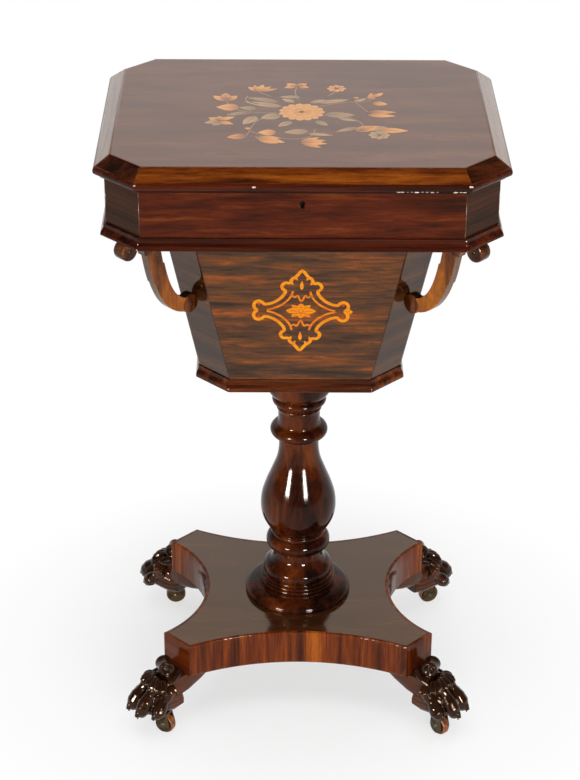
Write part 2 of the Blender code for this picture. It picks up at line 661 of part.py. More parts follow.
profile = [(TENON_FOOT_R, COLUMN_FOOT - TENON_FOOT_H), (TENON_FOOT_R, COLUMN_FOOT)]
profile += [(BASE_R - LINE, COLUMN_FOOT)]
profile += ovolo(COLUMN_FOOT + 0.25 * BASE_H, base_top, BASE_R, STEP_R, 5)
profile += [(STEP_R, step_top - LINE), (NECKING_R - 4 * LINE, step_top)]
profile += swell(step_top + LINE, necking_top - LINE, NECKING_R - 4 * LINE, NECKING_R, 4)
bulb_mid = necking_top + 0.38 * BULB_H
profile += swell(necking_top, 2 * bulb_mid - necking_top, BULB_R - 3 * LINE, BULB_R, 4)[:3]
profile += ovolo(bulb_mid, bulb_top, BULB_R, BULB_TOP_R, 4)[1:]
profile += cove(bulb_top + LINE, cove_top, BULB_TOP_R - 2 * LINE, WAIST_R, 4)
profile += [(WAIST_R + LINE, cove_top + LINE), (WAIST_R + LINE, cove_top + 5 * LINE)]
profile += swell(cove_top + 6 * LINE, ring_top, WAIST_R + 5 * LINE, RING_R, 6)
profile += swell(ring_top + LINE, vase_low - LINE, RING_BEAD_R - 2 * LINE, RING_BEAD_R, 2)
shoulder = VASE_R - NECK_R
profile += flow([(RING_BEAD_R - 2 * LINE, vase_low), (VASE_R - 0.34 * shoulder, vase_low + 0.075 * vase_h),
                 (VASE_R - 0.09 * shoulder, vase_low + 0.165 * vase_h), (VASE_R, vase_low + 0.27 * vase_h),
                 (VASE_R - 0.06 * shoulder, vase_low + 0.385 * vase_h),
                 (VASE_R - 0.29 * shoulder, vase_low + 0.515 * vase_h),
                 (VASE_R - 0.63 * shoulder, vase_low + 0.66 * vase_h),
                 (VASE_R - 0.91 * shoulder, vase_low + 0.79 * vase_h), (NECK_R, vase_high)], 2)
profile += [(NECK_R + 2 * LINE, vase_high + LINE), (NECK_R + 2 * LINE, vase_high + 5 * LINE)]
profile += swell(vase_high + 6 * LINE, collar_top, UPPER_NECK_R + 2 * LINE, COLLAR_R, 6)
profile += [(UPPER_NECK_R, collar_top + LINE), (UPPER_NECK_R, cap_bead_low - 0.25 * UPPER_NECK_H)]
profile += [(UPPER_NECK_R + 3 * LINE, cap_bead_low - 0.22 * UPPER_NECK_H)]
profile += [(CAP_BEAD_R - 6 * LINE, cap_bead_low)]
profile += swell(cap_bead_low + LINE, cap_low - LINE, CAP_BEAD_R - 5 * LINE, CAP_BEAD_R, 4)
profile += [(CAP_BEAD_R - 3 * LINE, cap_low)]
for r, z in ovolo(COLUMN_TOP - CAP_H + CAP_OVOLO_H, cap_low, CAP_R, CAP_BEAD_R, 4)[3:0:-1]:
    profile.append((r, z))
profile += [(CAP_R, cap_low + CAP_OVOLO_H), (CAP_R, COLUMN_TOP), (TENON_TOP_R, COLUMN_TOP),
            (TENON_TOP_R, COLUMN_TOP + TENON_TOP_H)]
turned("column", profile, 24, "rosewood")

# Platform: canted corners, four hollow sides, a socket for the column


def hollow(p, q, waist, steps):
    """Points of a circular hollow from p towards q, whose middle is drawn in to the waist point."""
    p, q, waist = Vector(p), Vector(q), Vector(waist)
    chord, mid = (q - p), (p + q) * 0.5
    inward = waist - mid
    sag, half = inward.length, 0.5 * chord.length
    radius = (half * half + sag * sag) / (2 * sag)
    inward, along = inward.normalized(), chord.normalized()
    centre = waist - inward * radius
    pts = []
    for i in range(steps):
        w = (2.0 * i / steps - 1.0) * math.asin(half / radius)
        pts.append(centre + (inward * math.cos(w) + along * math.sin(w)) * radius)
    return pts + [q]


pa, pb, pc = PLATFORM_A, PLATFORM_B, PLATFORM_C
outline = []
outline += hollow((pc - pa, -pb), (pa - pc, -pb), (0, -WAIST_Y), 16)
outline += hollow((pa, pc - pb), (pa, pb - pc), (WAIST_X, 0), 16)
outline += hollow((pa - pc, pb), (pc - pa, pb), (0, WAIST_Y), 16)
outline += hollow((-pa, pb - pc), (-pa, pc - pb), (-WAIST_X, 0), 16)
platform = loft("platform", [[(p.x, p.y, z) for p in outline] for z in (UNDER_Z, PLATFORM_Z)], "rosewood")
combine(platform, rod("socket", (0, 0, PLATFORM_Z - TENON_FOOT_H - RUN), (0, 0, PLATFORM_Z + TENON_FOOT_H),
                      TENON_FOOT_R + GAP, 32, "rosewood"))

# Paw feet: a swept haunch under the platform, a rolled knee outside it, a paw of four toes
FOOT_MX = PLATFORM_A - 0.5 * PLATFORM_C
FOOT_MY = PLATFORM_B - 0.5 * PLATFORM_C
FOOT_TOP = UNDER_Z - SEAT


def rounded(half_w, low, high, share, count=16):
    """A squarish oval of (sideways, height) for a section of the foot."""
    mid, half_h = 0.5 * (low + high), 0.5 * (high - low)
    pts = []
    for i in range(count):
        w = 2 * math.pi * i / count
        c, s = math.cos(w), math.sin(w)
        across, up = math.copysign(abs(c) ** share, c), math.copysign(abs(s) ** share, s)
        pts.append((half_w * across, mid + half_h * up))
    return pts


def section_body(name, stations):
    rings = []
    for run, half_w, low, high, share in stations:
        rings.append([(run, t, z) for t, z in rounded(half_w, low, high, share)])
    return loft(name, rings, "carving", smooth=True)


def egg(name, centre, radii, tilt=0.0, sides=14, rows=9):
    """An oval lump, tilted down towards its outer end."""
    spin = Matrix.Translation(Vector(centre)) @ Matrix.Rotation(tilt, 4, "Y")
    rings = []
    for k in range(1, rows):
        w = math.pi * k / rows
        ring = []
        for i in range(sides):
            v = 2 * math.pi * i / sides
            ring.append(spin @ Vector((-radii[0] * math.cos(w), radii[1] * math.sin(w) * math.cos(v),
                                       radii[2] * math.sin(w) * math.sin(v))))
        rings.append(ring)
    return loft(name, rings, "carving", smooth=True)


def make_foot():
    """The foot in its local frame, before it is placed at a corner."""
    heel = 0.0040
    foot = section_body("foot_blank", [
        (-HAUNCH_RUN, 0.55 * FOOT_HALF_W, FOOT_TOP - 0.0040, FOOT_TOP + 0.004, 0.5),
        (-0.72 * HAUNCH_RUN, 0.75 * FOOT_HALF_W, FOOT_TOP - 0.0125, FOOT_TOP + 0.004, 0.5),
        (-0.36 * HAUNCH_RUN, 0.92 * FOOT_HALF_W, FOOT_TOP - 0.0215, FOOT_TOP + 0.004, 0.5),
        (-0.06 * HAUNCH_RUN, FOOT_HALF_W, FOOT_TOP - 0.0270, FOOT_TOP + 0.004, 0.5),
        (heel + 0.010, FOOT_HALF_W, FOOT_TOP - 0.0300, FOOT_TOP + 0.006, 0.5),
        (KNEE_RUN + 0.006, FOOT_HALF_W, FOOT_TOP - 0.0300, FOOT_TOP + 0.010, 0.6),
    ])
    parts = [
        section_body("paw", [
            (heel, FOOT_HALF_W, FOOT_SOLE_Z - 0.001, FOOT_SOLE_Z + 0.0180, 0.6),
            (heel + 0.012, 1.08 * FOOT_HALF_W, FOOT_SOLE_Z - 0.004, PAW_TOP_Z - 0.012, 0.6),
            (PINTLE_RUN, 0.82 * PAW_HALF_W, FOOT_SOLE_Z - 0.004, PAW_TOP_Z, 0.7),
            (0.66 * PAW_TIP, 0.93 * PAW_HALF_W, FOOT_SOLE_Z - 0.003, PAW_TOP_Z - 0.001, 0.75),
            (0.80 * PAW_TIP, 0.92 * PAW_HALF_W, FOOT_SOLE_Z - 0.002, PAW_TOP_Z - 0.013, 0.8),
            (0.92 * PAW_TIP, 0.70 * PAW_HALF_W, FOOT_SOLE_Z + 0.001, PAW_TOP_Z - 0.028, 0.9),
        ]),
    ]
    knee_half = 0.5 * KNEE_W
    knee_ends = (KNEE_RUN, -knee_half, KNEE_Z), (KNEE_RUN, knee_half, KNEE_Z)
    parts.append(rod("knee", *knee_ends, KNEE_R, 24, "carving"))
    for sign in (-1, 1):
        parts.append(egg("shoulder", (0.64 * PAW_TIP, sign * 0.42 * PAW_HALF_W, PAW_TOP_Z - 0.004),
                         (0.011, 0.0085, 0.0060), 0.45))
        for share, reach, size in ((0.30, 1.0, 1.0), (0.84, 0.90, 0.92)):
            t = sign * share * PAW_HALF_W
            parts.append(egg("toe", (reach * PAW_TIP - 0.0100, t, FOOT_SOLE_Z + 0.0190),
                             (0.0150 * size, 0.0074, 0.0115 * size), 0.75))
            parts.append(egg("claw", (reach * PAW_TIP - 0.0040, t * 1.03, FOOT_SOLE_Z + 0.0055),
                             (0.0075, 0.0048, 0.0050), 0.9))
    for part in parts:
        combine(foot, part, "UNION")
    skin = foot.modifiers.new("skin", "REMESH")
    skin.mode = "VOXEL"
    skin.voxel_size = 0.0011
    ease = foot.modifiers.new("ease", "SMOOTH")
    ease.factor = 0.5
    ease.iterations = 2
    thin = foot.modifiers.new("thin", "DECIMATE")
    thin.ratio = 0.0185
    bake(foot)
    reach = 2 * HAUNCH_RUN
    combine(foot, block("platform_room", (-reach, -reach, FOOT_TOP), (SEAT, reach, FOOT_TOP + reach)))
    combine(foot, block("floor_room", (-reach, -reach, FOOT_SOLE_Z - reach), (reach, reach, FOOT_SOLE_Z)))
    combine(foot, bore((PINTLE_RUN, 0, 0), (PINTLE_RUN, 0, FOOT_SOLE_Z + PINTLE_H + RUN), PINTLE_R))
    return foot


blank = make_foot()
for label, (sx, sy) in CORNERS.items():
    foot = bpy.data.objects.new("foot_" + label, blank.data.copy())
    bpy.context.scene.collection.objects.link(foot)
    foot.data.transform(corner(sx, sy, FOOT_MX, FOOT_MY))
    give_material(foot, "carving")
bpy.data.objects.remove(blank, do_unlink=True)

# Castors: a fork with a pintle in the foot, a wheel on an axle behind the pintle
CROWN_Z1 = FOOT_SOLE_Z - SEAT
CROWN_Z0 = CROWN_Z1 - CROWN_T
CHEEK_IN = 0.5 * WHEEL_W + RUN
CHEEK_OUT = CHEEK_IN + CHEEK_T
HEADINGS = {"fl": -30.0, "fr": -52.0, "br": 20.0, "bl": 4.0}


def castor(label, sx, sy):
    """One castor; its heading is the way the wheel trails, seen from above."""
    heading = math.radians(HEADINGS[label])
    pivot = corner(sx, sy, FOOT_MX, FOOT_MY) @ Vector((PINTLE_RUN, 0, 0))
    place = Matrix.Translation(pivot) @ Matrix.Rotation(heading, 4, "Z")
    heel = TRAIL + 0.6 * CHEEK_R
    crown_line = arc(0, 0, CROWN_R, 70, 290, 11) + [(heel, -CHEEK_OUT), (heel, CHEEK_OUT)]
    rings = [[place @ Vector((s, t, z)) for s, t in crown_line] for z in (CROWN_Z0, CROWN_Z1)]
    fork = loft("castor_%s_fork" % label, rings, "brass")
    combine(fork, rod("pintle", place @ Vector((0, 0, CROWN_Z1 - 0.001)),
                      place @ Vector((0, 0, FOOT_SOLE_Z + PINTLE_H)), PINTLE_R, 16, "brass"), "UNION")
    cheek_z = CROWN_Z0 + 0.3 * CROWN_T
    cheek_line = [(TRAIL - 0.85 * CHEEK_R, cheek_z)] + arc(TRAIL, WHEEL_R, CHEEK_R, 170, 370, 11)
    cheek_line.append((heel, cheek_z))
    for t0, t1 in ((-CHEEK_OUT, -CHEEK_IN), (CHEEK_IN, CHEEK_OUT)):
        combine(fork, prism("cheek", cheek_line, t0, t1, "brass", place), "UNION")
    hub = place @ Vector((TRAIL, 0, WHEEL_R))
    side = place.to_3x3() @ Vector((0, 1, 0))
    combine(fork, bore(hub - side * 2 * CHEEK_OUT, hub + side * 2 * CHEEK_OUT, AXLE_R))
    set_origin(fork, (pivot.x, pivot.y, CROWN_Z1))

    sides = 28
    full = WHEEL_R / math.cos(math.pi / sides)
    half = 0.5 * WHEEL_W
    tread = [(0.90, -half), (1.0, -0.72 * half), (1.0, 0.72 * half), (0.90, half)]
    rings = []
    for share, t in tread:
        ring = []
        for i in range(sides):
            w = 2 * math.pi * (i + 0.5) / sides - 0.5 * math.pi
            run, rise = full * share * math.cos(w), full * share * math.sin(w)
            ring.append(place @ Vector((TRAIL + run, t, WHEEL_R + rise)))
        rings.append(ring)
    wheel = loft("castor_%s_wheel" % label, rings, "wheel", smooth=True)
    combine(wheel, bore(hub - side * WHEEL_W, hub + side * WHEEL_W, AXLE_R))
    set_origin(wheel, hub)
    axle_end = side * (CHEEK_OUT + GAP)
    axle = rod("castor_%s_axle" % label, hub - axle_end, hub + axle_end, AXLE_R, 12, "iron")
    set_origin(axle, hub)


for label, (sx, sy) in CORNERS.items():
    castor(label, sx, sy)

# The lid's own pieces turn about the hinge pins
set_origin(lid, HINGE_AXIS)
set_origin(lid_bead, HINGE_AXIS)
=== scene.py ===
"""Work table on a turned column: its looks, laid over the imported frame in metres."""
import json
import math

import bmesh
import bpy
import numpy as np
from mathutils import Matrix, Vector


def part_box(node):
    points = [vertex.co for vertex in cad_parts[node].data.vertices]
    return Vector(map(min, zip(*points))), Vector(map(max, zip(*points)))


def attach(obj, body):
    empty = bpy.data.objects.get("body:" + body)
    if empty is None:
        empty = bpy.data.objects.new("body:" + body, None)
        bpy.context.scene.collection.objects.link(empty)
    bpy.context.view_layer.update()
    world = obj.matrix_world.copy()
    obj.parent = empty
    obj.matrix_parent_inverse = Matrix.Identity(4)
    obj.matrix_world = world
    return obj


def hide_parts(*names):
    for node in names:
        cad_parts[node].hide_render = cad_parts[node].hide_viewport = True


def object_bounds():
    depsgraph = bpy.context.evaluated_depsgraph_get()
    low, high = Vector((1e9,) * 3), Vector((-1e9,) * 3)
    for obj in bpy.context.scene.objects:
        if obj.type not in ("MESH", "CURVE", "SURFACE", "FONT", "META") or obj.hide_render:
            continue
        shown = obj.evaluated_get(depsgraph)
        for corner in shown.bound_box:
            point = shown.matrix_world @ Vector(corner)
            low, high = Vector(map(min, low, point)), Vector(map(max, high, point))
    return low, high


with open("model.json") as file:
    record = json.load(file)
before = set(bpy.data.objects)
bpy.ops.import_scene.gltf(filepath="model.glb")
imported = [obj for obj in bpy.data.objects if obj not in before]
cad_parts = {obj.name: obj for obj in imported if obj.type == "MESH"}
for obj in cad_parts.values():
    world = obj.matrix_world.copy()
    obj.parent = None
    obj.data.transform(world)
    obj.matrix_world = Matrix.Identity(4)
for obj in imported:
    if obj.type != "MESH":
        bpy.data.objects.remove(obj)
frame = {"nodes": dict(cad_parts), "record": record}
cad_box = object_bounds()

# The studio: a pale paper floor that fades to white away from the table, white surroundings, broad soft lamps in
# front and above, and two small strips that only show in the polish. The camera stands 2.8 m off, 1.64 m up.
scene = bpy.context.scene
scene.view_settings.view_transform = "Standard"


def linear(code):
    """A colour written as sRGB hex, in the linear values that shaders take."""
    parts = [int(code[i:i + 2], 16) / 255 for i in (1, 3, 5)]
    return tuple(v / 12.92 if v <= 0.04045 else ((v + 0.055) / 1.055) ** 2.4 for v in parts) + (1.0,)


def add(tree, kind, feeds=None, **settings):
    """Adds one node. Feeds go to its inputs, as values, nodes or (node, output) pairs; settings are its own."""
    made = tree.nodes.new(kind if "Node" in kind else "ShaderNode" + kind)
    for name, value in settings.items():
        if name == "stops":
            ramp = made.color_ramp.elements
            while len(ramp) < len(value):
                ramp.new(0.5)
            for stop, (at, code) in zip(ramp, value):
                stop.position = at
                stop.color = linear(code)
        else:
            setattr(made, name, value)
    for socket, value in (feeds or {}).items():
        node, output = value if isinstance(value, tuple) and hasattr(value[0], "outputs") else (value, 0)
        if hasattr(node, "outputs"):
            tree.links.new(node.outputs[output], made.inputs[socket])
        else:
            made.inputs[socket].default_value = value
    return made


def blank(name):
    """A new material, its empty node tree, and the node that gives a point's place on the piece."""
    mat = bpy.data.materials.new(name)
    mat.use_nodes = True
    mat.node_tree.nodes.clear()
    return mat, mat.node_tree, add(mat.node_tree, "TexCoord")


world = bpy.data.worlds.new("studio")
scene.world = world
world.use_nodes = True
sky = world.node_tree
sky.nodes.clear()
ray = add(sky, "LightPath")
way = add(sky, "TexCoord")
split = add(sky, "SeparateXYZ", {0: (way, "Generated")})
slant = add(sky, "Math", {0: (split, "Y"), 1: (split, "Z")}, operation="SUBTRACT")
room = add(sky, "MapRange", {"Value": slant, "From Min": -0.12, "From Max": 0.36, "To Min": 0.12, "To Max": 1.0})
dim = add(sky, "Math", {0: room, 1: 0.7}, operation="MULTIPLY")
seen = add(sky, "Math", {0: (ray, "Is Glossy Ray"), 1: (ray, "Is Transmission Ray")}, operation="MAXIMUM")
level = add(sky, "Mix", {"Factor": seen, "A": dim, "B": room}, data_type="FLOAT")
level = add(sky, "Mix", {"Factor": (ray, "Is Camera Ray"), "A": level, "B": 1.0}, data_type="FLOAT")
glow = add(sky, "Background", {"Color": linear("#ffffff"), "Strength": level})
add(sky, "OutputWorld", {"Surface": glow})

paper, tree, place = blank("floor_paper")
ray = add(tree, "LightPath")
seen = add(tree, "Math", {0: (ray, "Is Camera Ray"), 1: (ray, "Is Glossy Ray")}, operation="MAXIMUM")
seen = add(tree, "Math", {0: seen, 1: (ray, "Is Transmission Ray")}, operation="MAXIMUM")
plain = add(tree, "BsdfDiffuse", {"Color": linear("#c8c6c4")})
pale = add(tree, "BsdfDiffuse", {"Color": linear("#fbfafa")})
white = add(tree, "Emission", {"Color": linear("#ffffff"), "Strength": 1.0})
away = add(tree, "VectorMath", {0: (place, "Object")}, operation="LENGTH")
fade = add(tree, "MapRange", {"Value": (away, 1), "From Min": 0.16, "From Max": 0.46, "To Min": 0.62, "To Max": 1.0})
lit = add(tree, "MixShader", {0: fade, 1: pale, 2: white})
both = add(tree, "MixShader", {0: seen, 1: plain, 2: lit})
add(tree, "OutputMaterial", {"Surface": both})

FLOOR = 9.0
mesh = bpy.data.meshes.new("floor")
mesh.from_pydata([(-FLOOR, -FLOOR, 0), (FLOOR, -FLOOR, 0), (FLOOR, FLOOR, 0), (-FLOOR, FLOOR, 0)], [], [(0, 1, 2, 3)])
mesh.materials.append(paper)
floor = bpy.data.objects.new("floor", mesh)
scene.collection.objects.link(floor)

for name, azimuth, reach, middle, wide, tall, power, shines in (
        ("strip_left", -38, 2.5, 0.75, 0.52, 0.36, 100, True),
        ("strip_right", 24, 2.5, 0.75, 0.46, 0.36, 92, True),
        ("front_soft", 10, 2.6, 1.1, 1.8, 1.0, 48, False),
        ("top_soft", 0, 0.5, 3.0, 2.4, 2.4, 62, False)):
    lamp = bpy.data.lights.new(name, "AREA")
    lamp.shape = "RECTANGLE"
    lamp.size = wide
    lamp.size_y = tall
    lamp.energy = power
    stand = bpy.data.objects.new(name, lamp)
    turn = math.radians(azimuth)
    stand.location = (reach * math.sin(turn), -reach * math.cos(turn), middle)
    aim = Vector((0, 0, 0.5)) - stand.location
    stand.rotation_euler = aim.to_track_quat("-Z", "Y").to_euler()
    stand.visible_glossy = shines
    stand.visible_diffuse = not shines
    scene.collection.objects.link(stand)

EYE, YAW, PITCH, ROLL = (-0.0263, -2.2907, 1.6383), 0.0067, -0.4981, 0.0065
FOCUS_PX, IMAGE_TALL, SENSOR_MM = 2204.5, 780, 36.0
camera = bpy.data.objects.new("camera", bpy.data.cameras.new("camera"))
camera.data.sensor_fit = "VERTICAL"
camera.data.sensor_height = SENSOR_MM
camera.data.lens = FOCUS_PX * SENSOR_MM / IMAGE_TALL
camera.matrix_world = (Matrix.Translation(EYE) @ Matrix.Rotation(-YAW, 4, "Z")
                       @ Matrix.Rotation(math.pi / 2 + PITCH, 4, "X") @ Matrix.Rotation(ROLL, 4, "Z"))
scene.collection.objects.link(camera)
scene.camera = camera

# Castors: tarnished brass forks on a pintle let up into each foot, a turned hardwood wheel with brass side
# plates, and an iron axle riveted over outside the cheeks.
CORNERS = {"fl": (-1, -1), "fr": (1, -1), "br": (1, 1), "bl": (-1, 1)}
joints = {joint["name"]: joint for joint in frame["record"]["behaviour"]["joints"]}


def skin(bm, rings, closed=False):
    """Joins rings of equal length into a closed shell and returns its rows of points."""
    rows = [[bm.verts.new(p) for p in ring] for ring in rings]
    pairs = list(zip(rows, rows[1:]))
    if closed:
        pairs.append((rows[-1], rows[0]))
    for low, high in pairs:
        for i in range(len(low)):
            j = (i + 1) % len(low)
            bm.faces.new((low[i], low[j], high[j], high[i]))
    if not closed:
        bm.faces.new(rows[0][::-1])
        bm.faces.new(rows[-1])
    return rows


def mm(*points):
    """Points written in millimetres, in metres."""
    return [tuple(v / 1000 for v in point) for point in points]


def both_ends(line):
    """Half a turned profile of (radius, distance from the middle), and its mirror image."""
    return line + [(r, -d) for r, d in reversed(line)]


def placed(x, y, z, turn=0.0):
    """A place at x, y, z, turned about the upright by degrees."""
    return Matrix.Translation((x, y, z)) @ Matrix.Rotation(math.radians(turn), 4, "Z")


def cast(name, bm):
    """An editable mesh made into a plain one."""
    mesh = bpy.data.meshes.new(name)
    bm.to_mesh(mesh)
    bm.free()
    return mesh


def turned(bm, line, sides, place, closed=False):
    """Turns a line of (radius, distance along the axis) about the local Z of place."""
    spin = [2 * math.pi * i / sides for i in range(sides)]
    rings = [[place @ Vector((r * math.cos(w), r * math.sin(w), d)) for w in spin] for r, d in line]
    return skin(bm, rings, closed)


BROAD_FACE, MANY_SIDED = 2e-4, 14


def ease(bm, width, sharp=40.0, shortest=0.006, margin=True):
    """Takes the arrises off, as handling does, and leaves a narrow margin beside them for wear."""
    bmesh.ops.remove_doubles(bm, verts=bm.verts, dist=1e-5)
    bmesh.ops.dissolve_limit(bm, angle_limit=math.radians(1), verts=bm.verts, edges=bm.edges)
    arrises = [e for e in bm.edges if len(e.link_faces) == 2 and e.calc_length() > shortest
               and e.calc_face_angle() > math.radians(sharp)]
    bmesh.ops.bevel(bm, geom=arrises, offset=width, segments=2, profile=0.6, affect="EDGES", clamp_overlap=True)
    if margin:
        broad = [f for f in bm.faces if f.calc_area() > BROAD_FACE and len(f.verts) < MANY_SIDED]
        bmesh.ops.inset_individual(bm, faces=broad, thickness=4 * width, use_even_offset=True)


def settle(name, bm, finishes, body, slot, *nodes, crease=35.0):
    """Makes a mesh one piece of the table: worn on its arrises, smooth between them, fixed to its body."""
    bmesh.ops.recalc_face_normals(bm, faces=bm.faces)
    if bm.verts.layers.float.get("wear") is None:
        worn = {}
        for v in bm.verts:
            angles = [e.calc_face_angle_signed(0) for e in v.link_edges if len(e.link_faces) == 2]
            worn[v] = min(1.0, max(angles + [0.0]) / math.radians(25))
        wear = bm.loops.layers.float.new("wear")
        for face in bm.faces:
            for loop in face.loops:
                loop[wear] = 0.0 if face.calc_area() > BROAD_FACE else worn[loop.vert]
    for edge in bm.edges:
        cut_up = any(len(f.verts) >= MANY_SIDED and f.calc_area() > BROAD_FACE for f in edge.link_faces)
        edge.smooth = not cut_up and edge.calc_face_angle(0) < math.radians(crease)
    mesh = cast(name, bm)
    for finish in finishes:
        mesh.materials.append(finish)
    mesh.polygons.foreach_set("use_smooth", [True] * len(mesh.polygons))
    piece = bpy.data.objects.new(name, mesh)
    scene.collection.objects.link(piece)
    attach(piece, body)
    if nodes:
        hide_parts(*nodes)


def solid(node):
    """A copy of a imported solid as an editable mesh."""
    bm = bmesh.new()
    bm.from_mesh(frame["nodes"][node].data)
    return bm


def metal(name, bright, dull, rough, grain_mm):
    """Metal dulled by age: tarnish lies in soft patches and handling keeps the arrises bright."""
    mat, tree, place = blank(name)
    patch = add(tree, "TexNoise", {"Vector": (place, "Object"), "Scale": 1000 / grain_mm, "Detail": 5.0, "Roughness": 0.6})
    worn = add(tree, "Attribute", attribute_name="wear")
    rub = add(tree, "Math", {0: (worn, "Fac"), 1: patch}, operation="MULTIPLY")
    mixed = add(tree, "Math", {0: patch, 1: rub}, operation="ADD")
    tone = add(tree, "ValToRGB", {0: mixed}, stops=[(0.36, dull), (0.62, bright)])
    gloss = add(tree, "MapRange", {"Value": mixed, "From Min": 0.35, "From Max": 0.75, "To Min": rough + 0.14,
            "To Max": rough - 0.06})
    fine = add(tree, "TexNoise", {"Vector": (place, "Object"), "Scale": 2600.0, "Detail": 2.0})
    dents = add(tree, "Bump", {"Strength": 0.12, "Distance": 0.0002, "Height": fine})
    body = add(tree, "BsdfPrincipled", {"Base Color": tone, "Metallic": 1.0, "Roughness": gloss, "Normal": dents})
    add(tree, "OutputMaterial", {"Surface": body})
    return mat


tarnished_brass = metal("tarnished_brass", "#55462d", "#2a221a", 0.30, 5)
dark_iron = metal("dark_iron", "#4f4a45", "#262321", 0.45, 4)

# Turned hardwood, dry and rolled on: warm brown with darker clouds and a soft shine.
wheel_wood, tree, place = blank("turned_hardwood_wheel")
cloud = add(tree, "TexNoise", {"Vector": (place, "Object"), "Scale": 260.0, "Detail": 4.0})
tone = add(tree, "ValToRGB", {0: cloud}, stops=[(0.35, "#5a2506"), (0.55, "#9a4a0c"), (0.7, "#b9641a")])
nicks = add(tree, "Bump", {"Strength": 0.25, "Distance": 0.0003, "Height": cloud})
body = add(tree, "BsdfPrincipled", {"Base Color": tone, "Roughness": 0.36, "IOR": 1.5, "Normal": nicks})
add(tree, "OutputMaterial", {"Surface": body})

PLATE_IN, PLATE_R = 0.00395, 0.0112
for corner in CORNERS:
    joint = joints["wheel_%s_roll" % corner]
    hub, axis = Vector(joint["pos_m"]), Vector(joint["axis"])
    place = Matrix.Translation(hub) @ axis.to_track_quat("Z", "Y").to_matrix().to_4x4()
    side = mm((1.7, -4.6), (3.6, -4.6), (4.2, -4.1), (9.4, -4.1), (10, -4.6), (11.1, -4.6))
    tread = mm((11.9, -4.1), (12.4, -3.2), (12.5, -1.8))
    bm = bmesh.new()
    turned(bm, both_ends(side + tread), 56, place, closed=True)
    for face in bm.faces:
        middle = place.inverted() @ face.calc_center_median()
        face.material_index = 1 if abs(middle.z) > PLATE_IN and middle.xy.length < PLATE_R else 0
    settle("wheel_" + corner, bm, [wheel_wood, tarnished_brass], "wheel_" + corner, "wheel_wood",
           "castor_%s_wheel" % corner)

    bm = solid("castor_%s_fork" % corner)
    ease(bm, 0.0004, shortest=0.0012, margin=False)
    settle("fork_" + corner, bm, [tarnished_brass], "castor_" + corner, "brass", "castor_%s_fork" % corner)

    bm = bmesh.new()
    head = mm((0.4, -8.3), (1.8, -8.1), (2.8, -7.6), (3.1, -7.1), (1.6, -7))
    turned(bm, both_ends(head), 24, place)
    settle("axle_" + corner, bm, [dark_iron], "castor_" + corner, "iron", "castor_%s_axle" % corner)

# Paw feet: each carved from one block of dark-stained hardwood, a haunch glued under the platform's corner, a
# rolled knee outside it, a leaf cuff round the ankle and four clawed toes, polished until the tops shine.
SOLE_Z, FOOT_TOP = 0.0300, 0.0717
FOOT_X, FOOT_Y = 0.1454, 0.1164


def carved(name, deep, dark, red):
    """Carved hardwood under black-brown stain and polish: red-brown only on the plain flanks that hands rub."""
    mat, tree, place = blank(name)
    long = add(tree, "Mapping", {"Vector": (place, "Object"), "Scale": (0.030, 0.030, 0.008)}, vector_type="TEXTURE")
    grain = add(tree, "TexNoise", {"Vector": long, "Scale": 1.0, "Detail": 6.0, "Roughness": 0.6})
    worn = add(tree, "Attribute", attribute_name="wear")
    rub = add(tree, "Math", {0: grain, 1: 0.3, 2: (worn, "Fac")}, operation="MULTIPLY_ADD")
    tone = add(tree, "ValToRGB", {0: rub}, stops=[(0.18, deep), (0.50, dark), (0.95, red)])
    gloss = add(tree, "MapRange", {"Value": grain, "From Min": 0.3, "From Max": 0.7, "To Min": 0.08, "To Max": 0.15})
    tool = add(tree, "TexNoise", {"Vector": (place, "Object"), "Scale": 300.0, "Detail": 2.0})
    marks = add(tree, "Bump", {"Strength": 0.08, "Distance": 0.0004, "Height": tool})
    body = add(tree, "BsdfPrincipled", {"Base Color": tone, "Roughness": gloss, "IOR": 1.37,
            "Specular Tint": linear("#ffdcc0"), "Normal": marks})
    add(tree, "OutputMaterial", {"Surface": body})
    return mat


dark_carving = carved("dark_stained_carved_hardwood", "#130a05", "#3c1e0e", "#7e3d1c")


def oval(half_w, low, high, square, count=28):
    """A squarish oval section of (sideways, height)."""
    pts = []
    for i in range(count):
        w = 2 * math.pi * i / count
        c, s = math.cos(w), math.sin(w)
        pts.append((half_w * math.copysign(abs(c) ** square, c),
                    0.5 * (low + high) + 0.5 * (high - low) * math.copysign(abs(s) ** square, s)))
    return pts


def stations(bm, rows):
    """A limb through sections of (run, half width, low, high) in millimetres, and squareness."""
    skin(bm, [[Vector((run, t, z)) / 1000 for t, z in oval(half, low, high, square)]
              for run, half, low, high, square in rows])


def egg(bm, centre, radii, tilt=0.0, yaw=0.0):
    """An oval lump, tilted down towards its outer end and turned sideways."""
    place = Matrix.Translation(Vector(centre)) @ Matrix.Rotation(yaw, 4, "Z") @ Matrix.Rotation(tilt, 4, "Y")
    line = [(math.sin(math.pi * k / 12), -math.cos(math.pi * k / 12)) for k in range(1, 12)]
    spin = [2 * math.pi * i / 20 for i in range(20)]
    skin(bm, [[place @ Vector((d * radii[0], r * math.cos(w) * radii[1], r * math.sin(w) * radii[2])) for w in spin]
              for r, d in line])


def limb(bm, points, radii, count=16):
    """A round limb through points given in millimetres, each with its own radius."""
    rings = []
    for k, (point, radius) in enumerate(zip(points, radii)):
        ahead = Vector(points[min(k + 1, len(points) - 1)]) - Vector(points[max(k - 1, 0)])
        turn = ahead.to_track_quat("Z", "Y").to_matrix()
        spin = [2 * math.pi * i / count for i in range(count)]
        around = [turn @ Vector((radius * math.cos(w), radius * math.sin(w), 0)) for w in spin]
        rings.append([(Vector(point) + p) / 1000 for p in around])
    skin(bm, rings)


